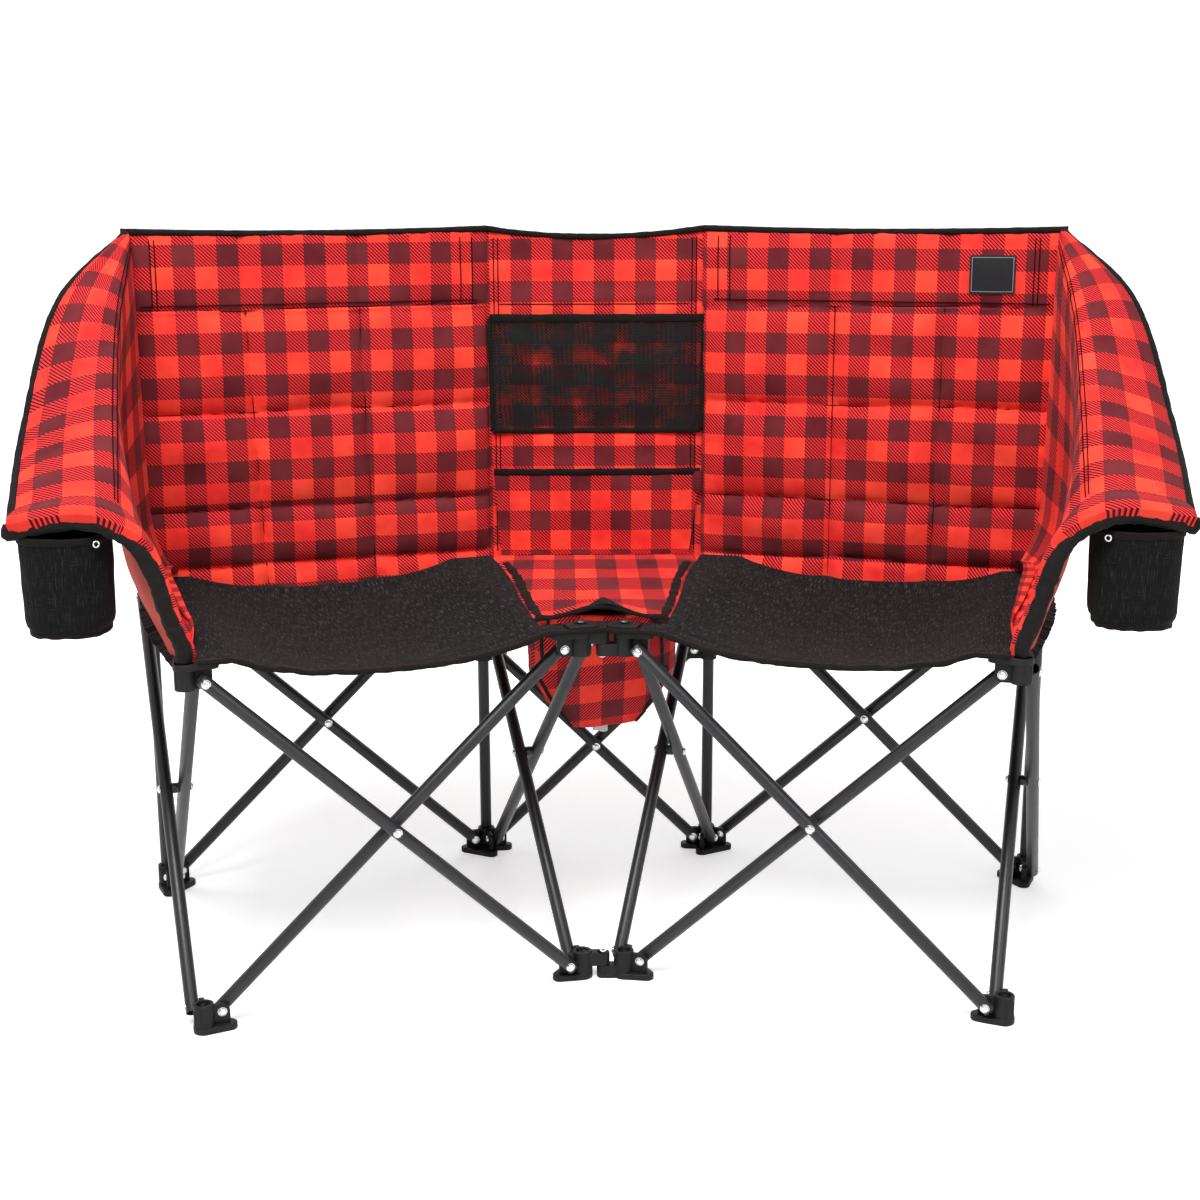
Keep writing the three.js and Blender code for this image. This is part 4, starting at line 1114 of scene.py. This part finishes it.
pocket = cloth(even(60), even(36), net_place,
               lambda s, t: (mix(-pocket_reach, pocket_reach, s), mix(mesh_low, mesh_high, t)), 0.0003)
dress(pocket, "mesh_pocket_net", back_body, "black_mesh", net, "mesh_pocket")
edges = [tape([net_place(s, t) for s in even(50)], upward, width, 0.0016, wave=0.15)
         for t, width in ((1.0, 0.0058), (0.0, 0.0035))]
edges += [tape([net_place(s, t) for t in even(30)], sideward, 0.0035, 0.0016, wave=0.15) for s in (0.0, 1.0)]
edge = dress(merge(*edges), "mesh_pocket_tape", back_body, "black_cloth", binding)
centre_pieces += [pocket, edge]

slip_low, slip_high = 0.4499, 0.569


def smoother(low, high, value):
    share = min(1.0, max(0.0, (value - low) / (high - low)))
    return share * share * (3 - 2 * share)


def slip_proud(s, t):
    belly = hump(s, 3) * (0.35 + 0.65 * t)
    wave = 0.003 * ripple((s * 0.28, 0, t * 0.12), 24, 4.0) * hump(s) * smoother(0.0, 0.4, t)
    return mix(0.0062, 0.0086, smoother(0.0, 0.4, t)) + 0.004 * belly * smoother(0.0, 0.5, t) + wave


def slip_place(s, t):
    return on_centre(mix(-0.134 - 0.009 * t, 0.132 + 0.015 * t, s), mix(slip_low, slip_high, t), slip_proud(s, t))


def slip_weave(s, t):
    place = slip_place(s, t)
    return place.x + 0.0642, place.z - 0.8563


pocket = cloth(even(70), even(40), slip_place, slip_weave, 0.0009)
dress(pocket, "slip_pocket_cloth", back_body, "plaid_cloth", plaid, "slip_pocket")
edge = tape([slip_place(s, 1) for s in even(50)], upward, 0.0048, 0.0022, wave=0.15)
dress(edge, "slip_pocket_tape", back_body, "black_cloth", binding)


def strap_place(s, t):
    proud = slip_proud(1, 1) + 0.0019 + 0.0016 * math.sin(t * math.pi)
    return on_centre(mix(0.1385, 0.1585, s), mix(0.5405, 0.5695, t), proud)


strap = cloth(even(10), even(14), strap_place, lambda s, t: (mix(0.032, 0.052, s), mix(0.029, 0.056, t)), 0.0007)
dress(strap, "slip_pocket_strap", back_body, "plaid_cloth", plaid)
centre_pieces += [pocket, edge, strap]
for piece in centre_pieces:
    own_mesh(piece)

# ---------------------------------------------------------------- Blank patch
# A small black woven patch sewn near the top of the right half. It is left bare but for its border.

patch_cloth = Finish("black_woven_patch", True, Specular_IOR_Level=0.15)
patch_across, patch_up = [abs(place) for place in patch_cloth.split()[:2]]
ring_x, ring_y = patch_across > 0.0262, patch_up > 0.0217
inside = (patch_across < 0.027) * (patch_up < 0.0225)
border = ring_x.maths("MAXIMUM", ring_x, ring_y) * inside
satin = patch_cloth.grain(900, 2, 0.5, (0.2, 1, 1))
black_satin = patch_cloth.mix(satin, (0.009, 0.009, 0.01), (0.024, 0.024, 0.026))
patch_cloth.cover(border * 0.8, black_satin, (0.3, 0.3, 0.3), 0.6 + satin * 0.25, satin, 0.0002, 0.6)
patch_along, patch_middle = 0.381, 0.846


def patch_weave(s, t):
    return mix(-0.0295, 0.0295, s), mix(-0.025, 0.025, t)


def patch_place(s, t):
    x, z = patch_weave(s, t)
    along, height = patch_along + x, patch_middle + z
    near = (-0.004, 0, 0.004)
    rise = max(quilt_lift("right", along + x, height + z) for x in near for z in near)
    return at("right", along, back_deep, height) - rearward("right") * (0.0045 + rise)


patch = cloth(even(30), even(26), patch_place, patch_weave, 0.0006)
dress(patch, "label_patch_blank", body_of["label_patch"], "label", patch_cloth, "label_patch")
fold_in(patch, "right", "rear_inner")

# ---------------------------------------------------------------- Arms
# Padded plaid wings over a coated red lining, sewn in two panels that meet in a double stitched seam.
# The front edge is rolled over a black sleeve on the arm post, and black tape binds the outer rim.

lining = Finish("coated_red_lining", Specular_IOR_Level=0.12)
wash = lining.grain(16, 4)
rose = lining.mix(wash, (0.52, 0.06, 0.045), (0.66, 0.1, 0.07))
# Between 0.53 m and 0.6 m up, the red lining turns dark purple: painted shade on the upper lining.
lining.cover(lining.spread(lining.split()[2], 0.53, 0.6), rose, (0.34, 0.03, 0.07), 0.7 + wash * 0.2,
             lining.grain(900) + wash * 2, 0.0003, 0.4)

# The wing is drawn through three sections across it, at arm_deeps, and the line of the arm post. Each
# section rises from the seat to the seam over a crown, and runs from there out to the rim.
arm_seam = 0.587
arm_deeps = (0.955, 0.735, 0.43)
arm_crowns = (0.003, 0.036, 0.03)
seam_alongs, seam_heights = (1.002, 1.057, 1.098), (0.987, 0.901, 0.791)
rim_alongs, rim_deeps, rim_heights = (1.012, 1.2, 1.319), (0.955, 0.782, 0.478), (0.996, 0.911, 0.755)
line_steps = 239
post_lines = {side: arm_line(side, line_steps + 1) for side in sides}
sleeve_start = 0.0313 / float(line_lengths(post_lines["left"])[-1])


def arm_place(side, s, t):
    """The wing's middle surface: s runs from the seat to the rim, and t from the back to the front."""
    stations = []
    for index in range(3):
        deep = arm_deeps[index] * span
        wall = at(side, span - 0.008, deep, 0.4478)
        seam = at(side, seam_alongs[index] * span, deep, seam_heights[index] * cloth_top)
        rim = at(side, rim_alongs[index] * span, rim_deeps[index] * span, rim_heights[index] * cloth_top)
        if s <= arm_seam:
            local = s / arm_seam
            stations.append(wall.lerp(seam, local) + outward(side) * (arm_crowns[index] * hump(math.sqrt(local))))
        else:
            share = (s - arm_seam) / (1 - arm_seam)
            stations.append(seam.lerp(rim, share) + upward * (0.005 * hump(share)))
    over = point_on(post_lines[side], mix(sleeve_start, 1, s) * line_steps)
    ahead = 0.002 * smoother(0.0, 0.06, s) + 0.007 * smoother(0.38, 0.56, s)
    stations.append(over - rearward(side) * ahead)
    return smooth_at(stations, t)


sleeve_cloth = Finish("ruffled_black_sleeve", Sheen_Weight=0.03, Sheen_Roughness=0.5, Specular_IOR_Level=0.14)
crinkle = sleeve_cloth.grain(70, 4, 0.6)
weft = sleeve_cloth.grain(1600)
sleeve_cloth.cover(crinkle, (0.003, 0.0028, 0.0028), (0.013, 0.0105, 0.0095), 0.7 + weft * 0.2,
                   crinkle + weft * 0.15, 0.0016, 0.7)

for side, sign in sides.items():
    node = f"arm_{side}"
    body = body_of[node]
    columns = even(60, 0, arm_seam)[:-1] + even(56, arm_seam, 1)
    rows = even(100)
    grid = {}

    def place(s, t):
        if (s, t) not in grid:
            grid[(s, t)] = arm_place(side, s, t)
        return grid[(s, t)]

    across_lengths = [line_lengths([place(s, t) for s in columns]) for t in (0.34, 0.6, 0.85)]
    across_mean = np.mean(across_lengths, axis=0)
    seam_reach = float(across_mean[columns.index(arm_seam)])
    along_mean = line_lengths([place(arm_seam, t) for t in rows])

    def weave(s, t):
        over = read_off(columns, across_mean, s) - seam_reach
        return sign * (over + 0.0125) + (0.0035 if sign < 0 else 0), -read_off(rows, along_mean, t) + 0.03

    def lift(s, t):
        near_seam = abs(s - arm_seam)
        edge = min(t, 1 - t, 1 - s) * 8
        pad = 0.0045 * min(1.0, edge) ** 0.5 * min(1.0, near_seam * 14) ** 0.5
        wrinkle = 0.0016 * ripple((s * 0.35, 0.0, t * 0.12), 26, sign * 4) * hump(t)
        wrinkle += 0.0012 * math.exp(-near_seam * 30) * ripple((s * 0.1, 0, t * 0.45), 70, sign)
        roll = 0.0105 * smoother(0.93, 0.985, t)
        foot = 0.026 * max(0.0, 1 - s / 0.12) ** 1.6 * (1 - smoother(0.86, 1.0, t))
        return 0.002 + pad + wrinkle + roll + foot

    def under(s, t):
        return 0.003 + 0.014 * max(0.0, 1 - s / 0.06) ** 2 * (1 - smoother(0.86, 1.0, t))

    panel = cloth(columns, rows, place, weave, lift, under, flip=sign > 0)
    for finish in (plaid, lining):
        panel.data.materials.append(finish.material)
    count = len(columns) * len(rows)
    for face in panel.data.polygons:
        face.material_index = int(all(v >= count for v in face.vertices))
    dress(panel, f"{node}_wing", body, "plaid_cloth", None, node)
    rim = [place(1.0, t) for t in rows]
    edge = tape(rim, lambda i: place(1.0, rows[i]) - place(columns[-3], rows[i]), 0.0055, 0.0048, wave=0.15)
    dress(edge, f"{node}_rim_tape", body, "black_cloth", binding)
    lines = []
    for s in (arm_seam - 0.006, arm_seam + 0.006):
        lines.append([])
        for t in even(120, 0.02, 0.93):
            here, over, ahead = [arm_place(side, s + x, t + y) for x, y in ((0, 0), (0.01, 0), (0, 0.01))]
            normal = (over - here).cross(ahead - here).normalized() * -sign
            lines[-1].append(here + normal * (lift(s, t) + 0.0002))
    seams = dress(stitches(lines, upward), f"{node}_stitches", body, "black_cloth", thread)

    def margin_place(s, t):
        out = read_off((0, 0.25, 0.5, 0.75, 1), (0.008, 0.023, 0.028, 0.022, 0.012), t)
        ruffle = 0.0032 * ripple((0, t * span, 0.2), 55, sign * 2) * s
        ruffle += 0.0018 * ripple((s * 0.02, t * span, 0), 130, 3.0) * s
        return at(side, span + mix(-0.006, out, s) + ruffle, mix(0.97 * span, 0.012, t), mix(0.4487, 0.437, s) + ruffle)

    margin = cloth(even(8), even(130), margin_place, lambda s, t: (s * 0.036, t * span), 0.0009, flip=sign > 0)
    dress(margin, f"{node}_margin", body, "black_cloth", sleeve_cloth)
    fold_axis = rearward(side) * 0.9289 + Vector((0, 0, 0.3704))
    for piece in (panel, edge, seams, margin):
        tuple(at(side, span, span, 0.675))
        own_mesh(piece)

    line = [place for index, place in enumerate(post_lines[side]) if index / line_steps > sleeve_start]
    way = (line[-1] - line[-2]).normalized()
    line = line[::2] + [line[-1] + way * 0.004, line[-1] + way * 0.008]
    radii = [0.0096 + 0.0012 * ripple(p, 60, 2.0) + 0.0013 * ripple(p, 150) for p in line]
    radii[-1] *= 0.55
    sleeve = pipe(line, radii, 36)
    for vertex in sleeve.data.vertices:
        vertex.co += vertex.normal * (0.0017 * ripple(vertex.co, 110, 1.0))
    dress(sleeve, f"arm_sleeve_{side}", f"front_outer_hub_{side}", "black_cloth", sleeve_cloth)

# ---------------------------------------------------------------- Drink holders
# Two soft cups of black heather cloth, hung from the sleeve on the arm post. Their round bottoms are
# bound in black tape, and a steel eyelet sits in the inner corner of each mouth.


def ring_stack(rings, weave):
    """A closed shell through a stack of rings, each a list of as many places."""
    count = len(rings[0])
    points = [place for ring in rings for place in ring]
    faces = shell_faces(len(rings), count)[:-2]
    woven = [weave(row, step) for row in range(len(rings)) for step in range(count)]
    for row in (0, len(rings) - 1):
        points.append(sum(rings[row], Vector()) / count)
        woven.append(weave(row, 0))
        for step in range(count):
            faces.append((row * count + step, row * count + (step + 1) % count, len(points) - 1))
    piece = build(points, faces, woven)
    for polygon in piece.data.polygons:
        loops = [piece.data.uv_layers["weave"].data[loop] for loop in polygon.loop_indices]
        widest = max(loop.uv.x for loop in loops)
        for loop in loops:
            if widest - loop.uv.x >= 0.1:
                loop.uv.x += widest
    return round_off(piece)


cup_cloth = heather_cloth("black_cup_cloth", 0.034)
cup_radius, cup_height, cup_wall, cup_heel = 0.05, 0.112, 0.0025, 0.016
girth = 2 * math.pi * cup_radius
count = 72
for side, sign in sides.items():
    node = f"drink_holder_{side}"
    cup_low, cup_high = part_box(node)
    centre = (cup_low + cup_high) / 2

    def ring(height, inset):
        """One level of the cup, a rounded square that sags outward at its foot."""
        share = height / cup_height
        radius = mix(0.0475, cup_radius - 0.0003, share) - inset
        if height < cup_heel:
            radius -= cup_heel * (1 - math.sqrt(max(0.0, 1 - (1 - height / cup_heel) ** 2)))
        places = []
        for x, y in circle(count):
            square = (abs(x) ** 2.5 + abs(y) ** 2.5) ** (-1 / 2.5)
            wave = 1 + 0.012 * ripple((x * 0.05, y * 0.05, height), 45, sign * 3)
            reach = min(radius * min(square, 1.06) * wave, (cup_radius - inset) / max(abs(x), abs(y)))
            sag = 0.0016 * ripple((x * 0.05, y * 0.05, 0), 40, sign) * max(0.0, 1 - share * 2)
            places.append(Vector((centre.x + reach * x, centre.y + reach * y, cup_low.z + max(0.0, height + sag))))
        return places

    outside = [0.0, 0.001, 0.003, 0.006, 0.01, cup_heel] + even(24, 0.022, cup_height - 0.0006)
    rings = [ring(h, 0) for h in outside] + [ring(h, cup_wall) for h in reversed(outside[5:])]
    rings += [ring(0.0045, cup_wall + 0.004)]
    cup = ring_stack(rings, lambda row, step: (girth * step / count, rings[row][step].z))
    dress(cup, f"{node}_cloth", body_of[node], "black_cloth", cup_cloth, node)
    edges = []
    for height, thick, wave in ((0.0035, 0.0022, 0.4), (cup_height - 0.003, 0.0017, 0.15)):
        loop = [p + (p - centre).normalized() * 0.0002 for p in ring(height, 0)]
        edges.append(tape(loop + loop[:1], upward, 0.0042, thick, wave=wave))
    dress(merge(*edges), f"{node}_tape", body_of[node], "black_cloth", binding)
    eyelet_place = Vector((centre.x - sign * 0.0435, centre.y - 0.0375, cup_high.z - 0.0065))
    bpy.ops.mesh.primitive_torus_add(location=eyelet_place, rotation=(quarter, 0, math.radians(-sign * 38)),
                                     major_radius=0.0033, minor_radius=0.0011, major_segments=28, minor_segments=12)
    eyelet = round_off(settle())
    dress(eyelet, f"{node}_eyelet", body_of[node], "steel", steel)

# ---------------------------------------------------------------- Cooler bag and its lid
# A soft bag of the plaid canvas hangs between the seats, with pleated ends and a small care tag left
# blank. A rippled cloth lid, bound in tape, covers it and runs up to the back.

# Five levels of the bag: how wide it is there, and where its front and back stand between the hubs.
bag_levels = (-0.186, -0.145, -0.095, -0.048, 0.0)
bag_widths = (0.092, 0.156, 0.2, 0.2, 0.19)
bag_fronts = (0.445, 0.363, 0.272, 0.194, 0.164)
bag_backs = (0.518, 0.609, 0.713, 0.829, 0.916)
bag_top, bag_depth = 0.445, 0.186
bag_count = 96


def bag_ring(level, inset):
    """One level of the bag: a rounded oblong with pleated ends, which leans to one side at its foot."""
    width = read_off(bag_levels, bag_widths, level) / 2 - inset
    near = middle.y + read_off(bag_levels, bag_fronts, level) * span + inset
    far = middle.y + read_off(bag_levels, bag_backs, level) * span - inset
    low = -level / bag_depth
    places = []
    for x, y in circle(bag_count, 0.5):
        reach = (abs(x) ** 4.5 + abs(y) ** 4.5) ** (-1 / 4.5)
        x, y = x * reach, y * reach
        pleat = 0.004 * (abs(x) ** 6) * ripple((y * 0.1, 0, level * 0.35), 90, 2.0)
        soft = 0.0016 * ripple((x * 0.1, y * 0.1, level), 24, 6.0)
        pull = 1 - 0.03 * (1 - abs(y) ** 2) * hump(min(1, max(0, low)))
        out = x * width * pull - math.copysign(abs(pleat), x) + soft + 0.006 * low
        tilt = 0.12 * low * max(0.0, out + 0.01)
        places.append(Vector((out, mix(near, far, (y + 1) / 2) + soft, bag_top + level + tilt)))
    return places


levels = [-0.186, -0.1857, -0.185] + even(44, -0.182, -0.0006)
insets = [0.012, 0.004, 0.0012] + [0.0] * 45
rings = [bag_ring(level, inset + 0.0008) for level, inset in zip(levels, insets)]
rings += [bag_ring(level, 0.0032) for level in reversed(levels[3:])]
rings += [bag_ring(-0.182, 0.014)]
flat_ring = bag_ring(-0.07, 0)
front_step = min(range(bag_count), key=lambda step: flat_ring[step].y + abs(flat_ring[step].x))
bag_reach = [float(reach) for reach in line_lengths(flat_ring + flat_ring[:1])]


def bag_weave(row, step):
    """The front lies face on, so its checks keep their width where the bag narrows, and hang a little askew."""
    reach = bag_reach[step] - bag_reach[front_step]
    if abs(reach) < 0.11:
        reach = rings[row][step].x
    return -reach + 0.0024, rings[row][step].z * 0.9 - reach * 0.14 + 0.0075


bag = ring_stack(rings, bag_weave)
dress(bag, "cooler_bag_cloth", "cooler_bag", "plaid_cloth", plaid, "cooler_bag")
rings = [bag_ring(level, -0.0004) for level in even(50, -0.184, -0.001)]
seams = []
for x in (-1, 1):
    for y in (-1, 1):
        line = []
        for ring in rings:
            mid_y = (ring[0].y + ring[bag_count // 2].y) / 2
            line.append(max(ring, key=lambda p: p.x * x + (p.y - mid_y) * y * 1.4))
        seams.append(tape(line, sideward * x, 0.0022, 0.0016, 8, wave=0.3))
piping = dress(merge(*seams), "cooler_bag_piping", "cooler_bag", "plaid_cloth", sleeve_cloth)

paper = Finish("pale_care_tag", Specular_IOR_Level=0.4)
pulp = paper.grain(400, 3)
paper.cover(pulp, (0.62, 0.58, 0.54), (0.8, 0.77, 0.73), 0.6 + pulp * 0.2, pulp, 0.0002, 0.3)


def tag_place(s, t):
    y = middle.y + 0.446 * span + 0.001 * math.sin(s * 5) + 0.002 * t
    return Vector((mix(-0.009, 0.011, s), y, bag_top - 0.1855 + mix(-0.0045, 0.0075, t) + 0.001 * math.sin(s * 7)))


tag = cloth(even(14), even(8), tag_place, lambda s, t: (s, t), 0.0003)
dress(tag, "cooler_bag_tag", "cooler_bag", "plaid_cloth", paper)

lid_front = middle.y + 0.113 * span
lid_back = centre_deep - 0.0025 - 0.005 - 0.0003


def lid_edge(y):
    deep = (y - middle.y) / math.cos(toe_in)
    return at("right", seat_inner(deep), deep, 0).x + 0.004


def lid_place(s, t):
    """The lid's middle surface, from its raised mouth back to the slip pocket, with folds across it."""
    y = mix(lid_front, lid_back, t)
    rise = 0.014 * max(0.0, 1 - t / 0.2) * hump(s) ** 4
    fold = 0.004 * (1 - math.cos(2 * math.pi * 4 * t ** 0.75)) / 2 * hump(s) * (1 - 0.6 * t)
    rumple = 0.0026 * ripple((s * 0.2, y * 2.4, 0), 20, 3.0) * hump(s) * hump(t)
    tuck = 0.005 * smoother(0.86, 1.0, abs(2 * s - 1))
    return Vector((mix(-1, 1, s) * lid_edge(y), y, seat_height + rise + fold + rumple - tuck))


def lid_weave(s, t):
    place = lid_place(s, t)
    return place.x + centre_phase[0], (place.y - lid_back) * 0.45 + slip_low + centre_phase[1]


lid = cloth(even(70), even(90), lid_place, lid_weave, 0.0018)
dress(lid, "cooler_lid_cloth", "cooler_lid", "plaid_cloth", plaid, "cooler_lid")
edges = []
for sign in (-1, 1):
    line = []
    for t in even(80, 0.0, 0.86):
        y = lid_place(0.5, t).y
        reach = lid_edge(y) - mix(0.011, 0.017, t)
        line.append(Vector((sign * reach, y, lid_place(0.5 + sign * 0.45, t).z + 0.0015)))
    edges.append(tape(line, sideward, 0.0056, 0.0026, wave=0.3))
edges.append(tape([lid_place(s, 0.0) for s in even(50)], -toward, 0.0058, 0.0028, wave=0.4))
lid_tape = dress(merge(*edges), "cooler_lid_tape", "cooler_lid", "black_cloth", binding)


# A black cloth sheet laid over the front of the lid: painted shade of the bag's dark open mouth.
def mouth_shade_place(s, t):
    height = lid_place(0.5 + (s - 0.5) * 0.5, 0.05).z + 0.0035 + 0.003 * t
    return Vector((mix(-0.033, 0.033, s) * (1 - 0.55 * t) + 0.003, lid_front + mix(-0.004, 0.018, t), height))


mouth_shade_sheet = cloth(even(30), even(12), mouth_shade_place, lambda s, t: (s * 0.07, t * 0.022), 0.0008)
dress(mouth_shade_sheet, "cooler_mouth_shade_sheet", "cooler_lid", "black_cloth", heather)
for piece in (bag, tag, lid, mouth_shade_sheet, piping, lid_tape):
    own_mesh(piece)
